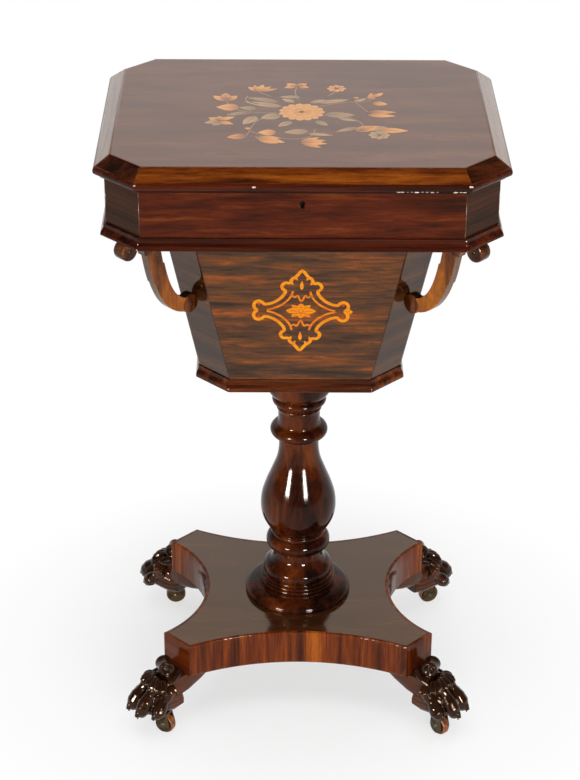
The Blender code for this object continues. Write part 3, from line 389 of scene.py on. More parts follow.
def read(items, name, width, kind=float):
    """One property of all of a mesh's points or edges, as rows of numbers."""
    rows = np.empty(len(items) * width, dtype=kind)
    items.foreach_get(name, rows)
    return rows.reshape(-1, width)


def corner_place(sx, sy, x, y):
    """The place of a canted corner, with its X outward and its Y along the cant."""
    run, side = Vector((sx, sy, 0)).normalized(), Vector((-sy, sx, 0)).normalized()
    place = Matrix((run, side, (0, 0, 1))).transposed().to_4x4()
    place.translation = (sx * x, sy * y, 0)
    return place


bm = bmesh.new()
stations(bm, [(-72, 9.1, 67.7, 75.7, 0.5), (-51.8, 12.4, 59.2, 75.7, 0.5), (-25.9, 15.2, 50.2, 75.7, 0.5),
              (-4.3, 16.5, 44.7, 75.7, 0.5), (12, 16, 41.7, 78.7, 0.5), (25, 15, 41.7, 77.7, 0.6)])
paw = bmesh.new()
stations(paw, [(3, 16, 31, 48, 0.55), (16, 18.2, 27, 64, 0.55), (29, 20.5, 27, 69, 0.7),
               (40, 20.5, 28.5, 63, 0.75), (48, 18, 31, 55, 0.8), (54, 13, 34, 46, 0.9)])
KNEE_RUN, KNEE_Z, KNEE_TURN = 0.0190, 0.0868, -16
half_roll = mm((0.6, 10.6), (2.2, 10.3), (3.4, 9.2), (4, 8), (4.8, 7.8), (5.6, 9), (7.2, 9.8), (8.8, 9.6), (9.8, 8.2),
               (9.9, 6), (9.3, 2))
knee = placed(KNEE_RUN, 0, KNEE_Z, KNEE_TURN) @ Matrix.Rotation(math.pi / 2, 4, "X")
turned(paw, both_ends(half_roll), 44, knee)
CUFF_RUN, CUFF_R, FOLD_R = 0.0205, 0.0190, 0.0215
for turn, drop in ((-78, 7), (-48, 3), (-16, 0), (16, 0), (48, 3), (78, 7)):
    w = math.radians(turn)
    egg(paw, (CUFF_RUN + CUFF_R * math.cos(w), CUFF_R * math.sin(w), 0.0722 - drop / 1000),
        (0.0096, 0.0078, 0.0044), 0.50, w)
    for fold in (w - 0.24, w, w + 0.24):
        egg(paw, (CUFF_RUN + FOLD_R * math.cos(fold), FOLD_R * math.sin(fold), 0.0726 - drop / 1000),
            (0.0088, 0.0018, 0.0040), 0.62, fold)
for sign in (-1, 1):
    for line, radii in (
            ([(3, 10.8, 81), (9, 13, 77), (17, 15, 73), (26, 15.6, 71)], [1.8, 3.0, 3.6, 2.4]),
            ([(32, 7, 66), (40, 7.6, 65), (46, 8.2, 60), (52, 8.9, 53), (56.5, 9.3, 46), (59, 9.5, 40), (59.6, 9.5, 35.5)],
             [6.2, 8.6, 6.3, 8.8, 9.5, 7.8, 5]),
            ([(60, 9.5, 44.5), (64.6, 9.7, 41.5), (66, 9.8, 37.5), (64.8, 9.8, 34)], [3.8, 3.6, 2.9, 1.8]),
            ([(22, 16, 58), (29, 18.5, 57), (34.5, 20.2, 52), (39.5, 21.5, 46.5), (43, 22.2, 41.5), (45.6, 22.3, 37),
              (46, 22.3, 34)], [6.2, 8.0, 6.0, 8.3, 8.9, 6.8, 4.4]),
            ([(46.5, 22.3, 41.5), (50.4, 22.6, 38.5), (51.4, 22.6, 35.5), (50.4, 22.6, 33)], [3.6, 3.3, 2.7, 1.7])):
        limb(paw, [(run, sign * out, rise) for run, out, rise in line], radii)
ANKLE, PAW_TURN = 0.014, -10
paw.transform(placed(ANKLE, 0, 0, PAW_TURN) @ placed(-ANKLE, 0, 0))
bm.from_mesh(cast("paw", paw))
bmesh.ops.recalc_face_normals(bm, faces=bm.faces)
block = bpy.data.objects.new("foot_block", cast("foot_block", bm))
scene.collection.objects.link(block)
knit = block.modifiers.new("knit", "REMESH")
knit.mode = "VOXEL"
knit.voxel_size = 0.0006
rub = block.modifiers.new("rub", "SMOOTH")
rub.factor = 0.5
rub.iterations = 3
mesh = bpy.data.meshes.new_from_object(block.evaluated_get(bpy.context.evaluated_depsgraph_get()))
bpy.data.objects.remove(block, do_unlink=True)
co, out = read(mesh.vertices, "co", 3), read(mesh.vertices, "normal", 3)
flank = np.clip((np.abs(out[:, 1]) - 0.4) / 0.4, 0, 1) * np.clip((0.036 - co[:, 0]) / 0.010, 0, 1) * (co[:, 2] < 0.0720)
CUT_DEEP, CUT_WIDE = 0.0007, 0.0009
for line in (mm((-10, 52), (10, 50), (30, 54.5)), mm((-6, 46), (12, 43), (34, 47)), mm((0, 40), (14, 37), (34, 40))):
    runs, rises = zip(*line)
    gap = co[:, 2] - np.interp(co[:, 0], runs, rises)
    inside = (co[:, 0] > runs[0]) & (co[:, 0] < runs[-1]) & (np.abs(out[:, 1]) > 0.4)
    co -= out * (CUT_DEEP * np.exp(-(gap / CUT_WIDE) ** 2) * inside)[:, None]
ends = read(mesh.edges, "vertices", 2, np.int64)
count = np.bincount(ends.ravel(), minlength=len(co))[:, None]
eased = co.copy()
for _ in range(6):
    total = np.zeros_like(co)
    np.add.at(total, ends[:, 0], eased[ends[:, 1]])
    np.add.at(total, ends[:, 1], eased[ends[:, 0]])
    eased = total / count
crown = np.einsum("ij,ij->i", co - eased, out)
under = (co[:, 0] < 0.0004) & (co[:, 2] > FOOT_TOP)
co[under, 2] = FOOT_TOP
co[:, 2] = np.maximum(co[:, 2], SOLE_Z)
mesh.vertices.foreach_set("co", co.ravel())
worn = mesh.attributes.new("wear", "FLOAT", "POINT")
worn.data.foreach_set("value", np.clip(0.14 + crown / 0.003, 0.0, 0.34) + 0.34 * flank)
for corner, (sx, sy) in CORNERS.items():
    bm = bmesh.new()
    bm.from_mesh(mesh)
    bm.transform(corner_place(sx, sy, FOOT_X, FOOT_Y) @ Matrix.Diagonal((1, sx * sy, 1, 1)))
    settle("paw_foot_" + corner, bm, [dark_carving], "stand", "carved_wood", "foot_" + corner, crease=180)

# Platform: a thick board with four hollow sides, rosewood veneer on pine. Its top is laid with the grain across,
# its edge is cross-banded in short leaves whose joints show as dark lines.
PLATFORM_Z, UNDER_Z = 0.1152, 0.0720


def rosewood(name, streak_mm, run_mm, tones, turn=0.0, upright=False, ior=1.3, shine=0.09, rub="#7d4a26", banded=False,
             film="#ffe4cc"):
    """French-polished rosewood: dark and red-brown streaks, fine pores, an amber shine that is worn at the arrises."""
    mat, tree, place = blank(name)
    where = (place, "UV") if banded else (place, "Object")
    spin = (0.0, -math.pi / 2 if upright else 0.0, math.radians(turn))
    if banded:
        spin = (0.0, 0.0, math.pi / 2)
    across = streak_mm / 1000
    grain = add(tree, "Mapping", {"Vector": where, "Rotation": spin, "Scale": (run_mm / 1000, across, across)},
            vector_type="TEXTURE")
    broad = add(tree, "TexNoise", {"Vector": grain, "Scale": 0.28, "Detail": 2.0, "Roughness": 0.5, "Distortion": 0.4})
    streak = add(tree, "TexNoise", {"Vector": grain, "Scale": 1.0, "Detail": 4.0, "Roughness": 0.62, "Distortion": 0.6})
    fine = add(tree, "TexNoise", {"Vector": grain, "Scale": 5.0, "Detail": 3.0, "Roughness": 0.6})
    mixed = add(tree, "Math", {0: broad, 1: 0.55, 2: -0.03}, operation="MULTIPLY_ADD")
    mixed = add(tree, "Math", {0: streak, 1: 0.42, 2: mixed}, operation="MULTIPLY_ADD")
    mixed = add(tree, "Math", {0: fine, 1: 0.10, 2: mixed}, operation="MULTIPLY_ADD")
    # The leaf attribute carries each veneer leaf's own tone, and also painted shade on the brackets and the platform's
    # canted corners.
    leaf = add(tree, "Attribute", attribute_name="leaf")
    mixed = add(tree, "Math", {0: mixed, 1: (leaf, "Fac")}, operation="ADD")
    stops = list(zip((0.36, 0.47, 0.56, 0.70), tones))
    tone = add(tree, "ValToRGB", {0: mixed}, stops=stops)
    pores = add(tree, "Mapping", {"Vector": where, "Rotation": spin, "Scale": (0.006, 0.0005, 0.0005)},
            vector_type="TEXTURE")
    pores = add(tree, "TexNoise", {"Vector": pores, "Scale": 1.0, "Detail": 1.0})
    pits = add(tree, "MapRange", {"Value": pores, "From Min": 0.60, "From Max": 0.70, "To Min": 0.0, "To Max": 0.55})
    tone = add(tree, "Mix", {"Factor": pits, 6: tone, 7: linear(tones[0])}, data_type="RGBA")
    worn = add(tree, "Attribute", attribute_name="wear")
    chance = add(tree, "TexNoise", {"Vector": (place, "Object"), "Scale": 70.0, "Detail": 5.0, "Roughness": 0.7})
    spots = add(tree, "Math", {0: (worn, "Fac"), 1: chance}, operation="MULTIPLY")
    spots = add(tree, "MapRange", {"Value": spots, "From Min": 0.42, "From Max": 0.72, "To Min": 0.0, "To Max": 0.8})
    tone = add(tree, "Mix", {"Factor": spots, 6: (tone, 2), 7: linear(rub)}, data_type="RGBA")
    haze = add(tree, "TexNoise", {"Vector": (place, "Object"), "Scale": 18.0, "Detail": 4.0})
    gloss = add(tree, "MapRange", {"Value": haze, "From Min": 0.3, "From Max": 0.7, "To Min": shine - 0.03,
            "To Max": shine + 0.07})
    gloss = add(tree, "Math", {0: spots, 1: 0.3, 2: gloss}, operation="MULTIPLY_ADD")
    height = add(tree, "Math", {0: pits, 1: -0.6, 2: fine}, operation="MULTIPLY_ADD")
    relief = add(tree, "Bump", {"Strength": 0.05, "Distance": 0.0003, "Height": height})
    body = add(tree, "BsdfPrincipled", {"Base Color": (tone, 2), "Roughness": gloss, "IOR": ior,
            "Specular Tint": linear(film), "Normal": relief})
    add(tree, "OutputMaterial", {"Surface": body})
    return mat


platform_top = rosewood("platform_top_rosewood", 5, 50, ("#321b0d", "#402311", "#4e2c16", "#5e381d"), ior=1.85,
        film="#ffdcbc")
platform_band = rosewood("platform_cross_banding", 3.2, 60, ("#3a160a", "#62280e", "#823a12", "#b05c18"), banded=True)


def hollow(p, q, waist, marks):
    """Points of a circular hollow from p to q, drawn in to the waist point in the middle, at marks from -1 to 1."""
    p, q, waist = Vector(p), Vector(q), Vector(waist)
    half, middle = 0.5 * (q - p).length, (p + q) * 0.5
    sag = (waist - middle).length
    radius = (half * half + sag * sag) / (2 * sag)
    inward, along = (waist - middle).normalized(), (q - p).normalized()
    centre = waist - inward * radius
    sweep = [mark * math.asin(half / radius) for mark in marks]
    return [centre + (inward * math.cos(w) + along * math.sin(w)) * radius for w in sweep]


# The joints show as dark lines. The canted corner faces of the edge are darkened a little as painted shade.
JOINT, JOINT_SHADE, CANT_PAINTED_SHADE = 0.0016, -0.3, -0.06
pa, pb, pc = 0.1612, 0.1322, 0.0316
outline, shades = [], []
for ends, waist, cuts, tints in (
        (((pc - pa, -pb), (pa - pc, -pb)), (0, -0.1011), (-0.56, 0.07, 0.25, 0.56), (-0.04, 0.0, 0.09, 0.02, -0.05)),
        (((pa, pc - pb), (pa, pb - pc)), (0.1128, 0), (-0.45, 0.1, 0.6), (-0.02, 0.03, -0.05, 0.04)),
        (((pa - pc, pb), (pc - pa, pb)), (0, 0.1011), (-0.5, 0.02, 0.48), (0.02, -0.05, 0.05, -0.02)),
        (((-pa, pb - pc), (-pa, pc - pb)), (-0.1128, 0), (-0.55, 0.0, 0.5), (0.04, -0.03, 0.0, -0.05))):
    marks = sorted([i / 24 - 1 for i in range(49)] + [cut + k * JOINT for cut in cuts for k in (-1, 1)])
    outline += hollow(*ends, waist, marks)
    for low, high in zip(marks, marks[1:]):
        middle = 0.5 * (low + high)
        on_joint = min(abs(middle - cut) for cut in cuts) < JOINT
        shades.append(JOINT_SHADE if on_joint else tints[sum(middle > cut for cut in cuts)])
    shades.append(CANT_PAINTED_SHADE)
runs = [0.0]
for p, q in zip(outline, outline[1:]):
    runs.append(runs[-1] + (q - p).length)


def drawn_in(points, depth):
    """The same outline drawn in by a depth, square to each point's sides."""
    made = []
    for k, p in enumerate(points):
        before, after = (p - points[k - 1]).normalized(), (points[(k + 1) % len(points)] - p).normalized()
        out = (Vector((before.y, -before.x)) + Vector((after.y, -after.x))).normalized()
        made.append(p - out * (depth / max(0.5, out.dot(Vector((after.y, -after.x))))))
    return made


bm = bmesh.new()
lay = [(0.0030, UNDER_Z), (0.0007, UNDER_Z), (0.0, UNDER_Z + 0.0007), (0.0, UNDER_Z + 0.0150), (0.0, PLATFORM_Z - 0.0150),
       (0.0, PLATFORM_Z - 0.0010), (0.0003, PLATFORM_Z - 0.0003), (0.0010, PLATFORM_Z), (0.0040, PLATFORM_Z)]
rows = skin(bm, [[(p.x, p.y, z) for p in drawn_in(outline, d)] for d, z in lay])
unrolled = bm.loops.layers.uv.new("run")
leaf = bm.faces.layers.float.new("leaf")
along = {v: runs[k] for row in rows for k, v in enumerate(row)}
for k, face in enumerate(bm.faces):
    face.material_index = 0 if face.normal.z > 0.8 or len(face.verts) > 4 else 1
    face[leaf] = shades[k % len(outline)]
    wraps = max(along[v] for v in face.verts) - min(along[v] for v in face.verts) > 0.2
    for loop in face.loops:
        run = along[loop.vert]
        loop[unrolled].uv = (run if not (wraps and run < 0.2) else run + runs[-1], loop.vert.co.z)
settle("platform_board", bm, [platform_top, platform_band], "stand", "rosewood", "platform")

# Column: one turning of solid rosewood, a vase between rings and beads, tenoned into the platform and the well's
# base board. The lathe leaves crisp quirks, and the polish makes a pair of bright strips down every swell.
COLUMN_FOOT = 0.1155


def flow(points, steps):
    """A smooth line through stations."""
    ends = [points[0]] + list(points) + [points[-1]]
    line = []
    for k in range(1, len(ends) - 2):
        p0, p1, p2, p3 = (Vector(p) for p in ends[k - 1:k + 3])
        for i in range(steps):
            t = i / steps
            bend, ease_off = 2 * p0 - 5 * p1 + 4 * p2 - p3, 3 * p1 - p0 - 3 * p2 + p3
            line.append(tuple(0.5 * (2 * p1 + (p2 - p0) * t + bend * t * t + ease_off * t ** 3)))
    return line + [tuple(points[-1])]


def swell(low, high, root, crown, steps=10):
    """A half round member between two heights."""
    turn = [math.pi * i / steps - math.pi / 2 for i in range(steps + 1)]
    return [(root + (crown - root) * math.cos(w), 0.5 * (low + high) + 0.5 * (high - low) * math.sin(w)) for w in turn]


turning = [(16.0, -22.0), (16.0, 0.0)]
turning += flow([(63.4, 0.0), (64.0, 1.2), (64.4, 3.0), (63.2, 6.6), (59.2, 9.4), (53.0, 11.0), (48.2, 11.6)], 4)
turning += [(47.4, 11.8), (47.4, 14.2), (44.0, 14.4)] + swell(14.6, 19.0, 44.0, 45.6) + swell(19.3, 23.8, 43.4, 45.4)
turning += [(41.8, 24.2), (40.8, 25.2)]
turning += flow([(40.8, 25.6), (42.2, 29.5), (42.4, 32.5), (40.9, 38.0), (37.2, 41.6), (34.8, 43.0)], 4)
turning += flow([(33.4, 44.8), (30.6, 49.0), (29.0, 54.0), (28.4, 59.5)], 4) + [(29.2, 60.2), (29.2, 62.4)]
turning += swell(62.8, 81.2, 31.0, 38.8, 16) + [(31.6, 81.6)] + swell(81.9, 86.6, 32.0, 33.0, 6)
turning += flow([(31.6, 87.2), (38.2, 96.5), (43.6, 108.0), (45.6, 121.0), (44.4, 136.0), (39.6, 152.0), (32.4, 170.0),
                 (26.2, 187.0), (23.9, 202.0), (24.0, 214.0)], 5)
turning += [(25.2, 214.8), (25.2, 217.2), (26.2, 217.8)] + swell(218.4, 233.2, 26.4, 34.3, 14)
turning += flow([(25.0, 234.4), (24.9, 246.0), (25.4, 254.0)], 3)
turning += [(26.8, 256.0), (26.8, 257.4), (26.2, 258.0), (28.2, 262.5)]
turning += swell(263.0, 271.5, 29.0, 32.2, 10)
turning += flow([(30.6, 272.3), (34.8, 276.6), (37.8, 282.0), (39.2, 290.0), (39.6, 294.0), (40.0, 300.0),
                 (40.0, 316.0)], 4)
turning += [(14.0, 316.1), (14.0, 326.0)]
column_wood = rosewood("turned_rosewood", 14, 70, ("#0e0502", "#2c1108", "#4e200b", "#843f0f"), upright=True, ior=1.24,
                       shine=0.05, film="#fff4ea")
bm = bmesh.new()
turned(bm, mm(*turning), 112, placed(0, 0, COLUMN_FOOT))
settle("turned_column", bm, [column_wood], "stand", "rosewood", "column", crease=50)

# Well: eight thin boards tapering down to a moulded base board, veneered with the grain across the front. The base
# board is a thick pine octagon with a rosewood ovolo and fillet glued round its edge.
CANT = 2.0 - math.sqrt(2.0)


def octagon(plan, out, z, margin=0.0):
    """Corners of a canted plan of half width, half depth and cant, moved outward, with a point beside each corner."""
    a, b, c = plan[0] + out, plan[1] + out, plan[2] + CANT * out
    front = [(c - a, -b), (a - c, -b), (a, c - b), (a, b - c)]
    corners = [Vector((x, y, z)) for x, y in front + [(-x, -y) for x, y in front]]
    if not margin:
        return corners
    ring = []
    for k, p in enumerate(corners):
        before, after = corners[k - 1] - p, corners[(k + 1) % 8] - p
        ring += [p + before.normalized() * margin, p, p + after.normalized() * margin]
    return ring


def veneers(name, front, side, cant):
    """Rosewood laid four ways round a canted case: on front and back, on the sides, and on each pair of corners."""
    return {"front": rosewood(name + "_front_rosewood", **front),
            "side": rosewood(name + "_side_rosewood", turn=90, **side),
            "cant_l": rosewood(name + "_cant_rosewood", turn=-45, **cant),
            "cant_r": rosewood(name + "_cant_rosewood_turned", turn=45, **cant)}


LAID = {"front": "front", "back": "front", "left": "side", "right": "side",
        "cant_fl": "cant_l", "cant_br": "cant_l", "cant_fr": "cant_r", "cant_bl": "cant_r"}
well_face = {"streak_mm": 3.4, "run_mm": 34, "tones": ("#35261c", "#523829", "#744424", "#c06028")}
well_cant = {"streak_mm": 4.5, "run_mm": 90, "tones": ("#1a0b04", "#361b0b", "#492710", "#5f371a"), "ior": 1.38,
             "film": "#ffd2ac"}
well_wood = veneers("well", well_face, well_face, well_cant)
for side, laid in LAID.items():
    bm = solid("well_" + side)
    ease(bm, 0.0005)
    settle("well_board_" + side, bm, [well_wood[laid]], "stand", "rosewood", "well_" + side)

WELL_FOOT, WELL_BASE_Z = (0.1162, 0.0758, 0.0357), 0.4319
edge = mm((2.4, 0), (3.4, 0.4), (3.8, 1.2), (3.8, 4))
edge += mm(*[(3.8 - 2.7 * math.sin(0.5 * math.pi * i / 10) ** 2, 4 + 8.4 * i / 10) for i in range(1, 10)])
edge += mm((1.1, 12.4), (1.1, 14.8), (0.6, 15.2))
bm = bmesh.new()
skin(bm, [octagon(WELL_FOOT, d, WELL_BASE_Z + h, 0.003) for d, h in edge])
base_wood = rosewood("base_moulding_rosewood", 3, 60, ("#2a1006", "#4a1e0a", "#6e3210", "#964c16"), ior=1.26)
settle("well_base_board", bm, [base_wood], "stand", "rosewood", "well_base")

# Strapwork on the well's front: bands of yellow satinwood let into the veneer round a flower of eight petals,
# cut with a fret saw and levelled with it.
LOW_DEPTH, LOW_Z, HIGH_DEPTH, HIGH_Z = 0.0758, 0.4474, 0.1142, 0.6540
INLAY_Z, INLAY_TURN = 0.5436, -1.2
across, slope = Vector((1, 0, 0)), Vector((0, LOW_DEPTH - HIGH_DEPTH, HIGH_Z - LOW_Z)).normalized()
lean = (HIGH_DEPTH - LOW_DEPTH) / (HIGH_Z - LOW_Z)
panel = placed(0.0, -(LOW_DEPTH + (INLAY_Z - LOW_Z) * lean), INLAY_Z)
panel = panel @ Matrix((across, slope, across.cross(slope))).transposed().to_4x4() @ placed(0, 0, 0, INLAY_TURN)

# Yellow satinwood under polish: bright gold with a fine figure, orange where its shade runs deeper.
satinwood, tree, place = blank("yellow_satinwood_inlay")
long = add(tree, "Mapping", {"Vector": (place, "Object"), "Scale": (0.03, 0.0014, 0.0014)}, vector_type="TEXTURE")
figure = add(tree, "TexNoise", {"Vector": long, "Scale": 1.0, "Detail": 4.0})
shade = add(tree, "Attribute", attribute_name="shade")
mixed = add(tree, "Math", {0: (shade, "Fac"), 1: -0.30, 2: figure}, operation="MULTIPLY_ADD")
tone = add(tree, "ValToRGB", {0: mixed}, stops=[(0.12, "#c04a04"), (0.36, "#f08006"), (0.60, "#ffa408")])
body = add(tree, "BsdfPrincipled", {"Base Color": tone, "Roughness": 0.18, "IOR": 1.3})
add(tree, "OutputMaterial", {"Surface": body})


def plate(bm, place, outline, shades, thick=0.0004, proud=0.00006):
    """A flat inlay filled from side to side between its first and middle points, with a shade for every point."""
    tint = bm.verts.layers.float.get("shade") or bm.verts.layers.float.new("shade")
    tops = [bm.verts.new(place @ Vector((x, y, proud))) for x, y in outline]
    lows = [bm.verts.new(place @ Vector((x, y, proud - thick))) for x, y in outline]
    for ring in (tops, lows):
        for v, s in zip(ring, shades):
            v[tint] = s
    n = len(outline)
    for ring in (tops, lows):
        for k in range(n // 2):
            bm.faces.new(dict.fromkeys((ring[k], ring[k + 1], ring[n - k - 1], ring[(n - k) % n])))
    for i in range(n):
        j = (i + 1) % n
        bm.faces.new((tops[i], lows[i], lows[j], tops[j]))


def band(bm, place, line, width, closed=False, shade=0.0, thick=0.0004, proud=0.00006):
    """A strip of inlay along a line, of one width, closed into a loop or cut square at its ends."""
    tint = bm.verts.layers.float.get("shade") or bm.verts.layers.float.new("shade")
    n = len(line)
    rings = []
    for k, p in enumerate(line):
        before = Vector(p) - Vector(line[(k - 1) % n] if closed or k else p)
        after = Vector(line[(k + 1) % n] if closed or k < n - 1 else p) - Vector(p)
        ahead = (before.normalized() + after.normalized()).normalized()
        mitre = max(0.6, ahead.dot((after if after.length else before).normalized()))
        out = Vector((-ahead.y, ahead.x)) * (0.5 * width / mitre)
        left, right, low = Vector(p) + out, Vector(p) - out, proud - thick
        rings.append([place @ Vector((q.x, q.y, h)) for q, h in ((left, proud), (right, proud), (right, low), (left, low))])
    for row in skin(bm, rings, closed):
        for v in row:
            v[tint] = shade


def leaf_shape(length, width, bend=0.0, count=9, blunt=0.75):
    """Outline of a leaf or petal from its base at the origin to its tip, bent to one side."""
    side = []
    for k in range(1, count):
        t = k / count
        side.append((t * length, 0.5 * width * math.sin(math.pi * t ** blunt) ** 0.85, bend * length * t * t))
    near, far = [(x, b - h) for x, h, b in side], [(x, b + h) for x, h, b in reversed(side)]
    return [(0.0, 0.0)] + near + [(length, bend * length)] + far


PX, PY = 1.09 / 1000, 1.375 / 1000
quarter = [(0, 40), (2.2, 38.6), (4.2, 36.2), (6.6, 33.8), (9, 32.6), (10.8, 30.6), (11.4, 28.4), (13.6, 27.8), (16.6, 28),
           (19.2, 26.4), (20.2, 23.8), (18.8, 21.4), (16.8, 20.2), (16.6, 18.2), (18.4, 15.4), (21.8, 12), (26.6, 8.9),
           (32.2, 6.8), (37.2, 6.2), (39.4, 8), (43, 9.4), (46.6, 8.2), (48.2, 5.2), (47.4, 2.2), (45.4, 0.6)]
inner = flow([(35, 0.6), (29, 1.9), (23, 4.3), (17.8, 7.3), (13.4, 11.1), (10.5, 15), (8.8, 19.6)], 4)
crenel = flow([(10, 15.8), (8, 14.2), (6, 14), (4.4, 15.2), (3, 14.2), (1.8, 11.8), (0, 9.4)], 4)
points = ((7, 33.6, -125, 5.2, 3.4, 0.2), (11.4, 29.4, -122, 5.6, 3.6, 0.2), (17.4, 19.6, 150, 3.4, 2.6, 0.2),
          (41, 6.2, 28, 5.6, 5.2, 1.3))
half = quarter + [(x, -y) for x, y in reversed(quarter)]
loop = half[:-1] + [(-x, y) for x, y in reversed(half)][:-1]
strap = bmesh.new()
band(strap, panel, [(x * PX, y * PY) for x, y in flow(loop + [loop[0]], 3)[:-1]], 0.0038, closed=True)
for sx in (-1, 1):
    for sy in (-1, 1):
        for line, width in ((inner, 0.0025), (crenel, 0.0024)):
            band(strap, panel, [(sx * x * PX, sy * y * PY) for x, y in line], width, shade=0.45)
        for x, y, turn, length, wide, shade in points:
            point = panel @ Matrix.Diagonal((sx, sy, 1, 1)) @ placed(x * PX, y * PY, 0, turn)
            plate(strap, point, leaf_shape(length / 1000, wide / 1000, blunt=0.6), [shade] * 18, proud=0.00004)
plate(strap, panel @ placed(46.4 * PX, 0, 0), leaf_shape(0.0072, 0.0062, blunt=1.0), [0.2] * 18)
for sy in (-1, 1):
    plate(strap, panel @ placed(0, sy * 25.6 * PY - 0.0062, 0, 90), leaf_shape(0.0124, 0.0042), [0.0] * 18)
for k, turn in enumerate((0, 38, 90, 142, 180, 218, 270, 322)):
    length, width = ((0.0170, 0.0082), (0.0136, 0.0058), (0.0104, 0.0090), (0.0136, 0.0058))[k % 4]
    shape, way = leaf_shape(length, width, blunt=1.0), panel @ placed(0, 0, 0, turn)
    plate(strap, way, shape, [0.8] + [0.1] * (len(shape) - 1), proud=0.00006 + 0.00001 * (k % 2))
    band(strap, way, [(x * length, 0.0) for x in (0.3, 0.5, 0.75)], 0.0005, shade=1.1, proud=0.00009)
for radius, shade, proud in ((0.0030, 0.9, 0.0001), (0.0022, 0.0, 0.00012)):
    ring = [(radius * math.cos(2 * math.pi * i / 16), radius * math.sin(2 * math.pi * i / 16)) for i in range(16)]
    plate(strap, panel, ring, [shade] * 16, proud=proud)
settle("strapwork_inlay", strap, [satinwood], "stand", "rosewood")

# Scroll brackets: sawn from 11 mm rosewood, glued under the box at the canted corners and against the well. Each
# leg swings in past a small step to a curl, and the head ends in a thicker roll, all rounded over with a file.
BOX_BASE_Z = 0.6543
BRACKET_TOP = BOX_BASE_Z - 0.0003
flank_tones, edge_tones = ("#3d1a06", "#7a3d0d", "#a85a14", "#d47a18"), ("#301a0b", "#452812", "#5a371b", "#704a28")
bracket_wood = {}
for laid, turn in (("cant_l", -45), ("cant_r", 45)):
    bracket_wood[laid] = [
        rosewood("bracket_flank_" + laid, 6, 60, flank_tones, turn=turn, upright=True),
        rosewood("bracket_edge_" + laid, 3, 50, edge_tones, turn=turn, upright=True, ior=1.62, shine=0.22)]
roll_wood = rosewood("bracket_roll_rosewood", 3, 40, ("#24110a", "#4a2411", "#6b3a1a", "#8c5226"), ior=1.28)
CURL_RUN, CURL_Z, ROLL_RUN, ROLL_Z = -0.0911, 0.5512, -0.0030, 0.6431
p0, p1, p2, p3 = (Vector(p) for p in (
    (-0.0360, BRACKET_TOP), (-0.0443, BRACKET_TOP - 0.0540), (-0.0525, CURL_Z + 0.0021), (CURL_RUN, CURL_Z - 0.0010)))
OUTER_STEP, INNER_STEP, HALF_THICK = 0.40, 0.28, 0.0055
BRACKET_X, BRACKET_Y = 0.1909, 0.1511
roll_cheek = mm((0.6, 8.8), (1.6, 8.6), (2.4, 8), (6, 8), (9.2, 7.8), (10.4, 7.2), (10.9, 6))
curl_cheek = mm((0.6, 6.2), (2, 6.1), (2.8, 5.7), (8.8, 5.7), (10.6, 5.5), (11.3, 5.1), (11.6, 4.2))
BOARD = {"fl": -0.01, "fr": 0.07, "br": 0.02, "bl": -0.03}
outer, inner = [], []
steps = [step + k * 0.004 for step in (OUTER_STEP, INNER_STEP) for k in (-1, 1)]
for t in sorted([i / 32 for i in range(33)] + steps):
    u = 1 - t
    point = p0 * u ** 3 + p1 * 3 * u * u * t + p2 * 3 * u * t * t + p3 * t ** 3
    ahead = (p1 - p0) * 3 * u * u + (p2 - p1) * 6 * u * t + (p3 - p2) * 3 * t * t
    across = Vector((-ahead.y, ahead.x)).normalized() if t else Vector((1.0, 0.0))
    half = 0.5 * (0.0215 - 0.0045 * t)
    outer.append(point + across * (half - 0.0012 * (t > OUTER_STEP)))
    inner.append(point - across * (half - 0.0016 * (t < INNER_STEP)))
for corner, (sx, sy) in CORNERS.items():
    bm = bmesh.new()
    arch = [Vector((-0.0130 - 0.0125 * math.cos(w), 0.6300 + 0.0125 * math.sin(w)))
            for w in (0.0, 0.3, 0.6, 0.9, 1.2, math.pi / 2)]
    head = [Vector((-0.036, arch[0].y))] + arch
    head += [Vector(p) for p in ((ROLL_RUN, ROLL_Z), (ROLL_RUN, BRACKET_TOP), (-0.036, BRACKET_TOP))]
    skin(bm, [[Vector((p.x, t * HALF_THICK, p.y)) for p, t in ((far, -1), (far, 1), (near, 1), (near, -1))]
              for far, near in zip(outer, inner)])
    skin(bm, [[Vector((p.x, t, p.y)) for p in head] for t in (-HALF_THICK, HALF_THICK)])
    rims = [e for e in bm.edges if len(e.link_faces) == 2 and e.calc_face_angle(0) > 1.0]
    bmesh.ops.bevel(bm, geom=rims, offset=0.0012, segments=3, profile=0.5, affect="EDGES", clamp_overlap=True)
    bmesh.ops.recalc_face_normals(bm, faces=bm.faces)
    leaf = bm.faces.layers.float.new("leaf")
    for face in bm.faces:
        face.material_index = 0 if abs(face.normal.y) > 0.8 else 1
        # Painted light and shade: each flank is darkened towards the top, under the box, and lightened lower down.
        rise = np.interp(face.calc_center_median().z, (0.575, 0.605, 0.640), (0.06, -0.01, -0.13))
        face[leaf] = BOARD[corner] + float(rise)
    plain = len(bm.faces)
    for run, z, cheek in ((ROLL_RUN, ROLL_Z, roll_cheek), (CURL_RUN, CURL_Z, curl_cheek)):
        turned(bm, both_ends(cheek), 48, placed(run, 0, z) @ Matrix.Rotation(math.pi / 2, 4, "X"))
    bm.faces.ensure_lookup_table()
    for face in bm.faces[plain:]:
        middle = face.calc_center_median()
        face.material_index = 0 if middle.z < CURL_Z + 0.02 and abs(middle.y) > 0.0050 else 2
        # Painted shade and reflection: the cheeks darken towards the outer end of the curl.
        face[leaf] = float(np.interp(middle.x, (CURL_RUN - 0.010, CURL_RUN + 0.012), (-0.24, -0.06)))
    bm.transform(corner_place(sx, sy, BRACKET_X, BRACKET_Y))
    finishes = bracket_wood["cant_l" if sx == sy else "cant_r"] + [roll_wood]
    settle("scroll_bracket_" + corner, bm, finishes, "stand", "rosewood", "bracket_" + corner)

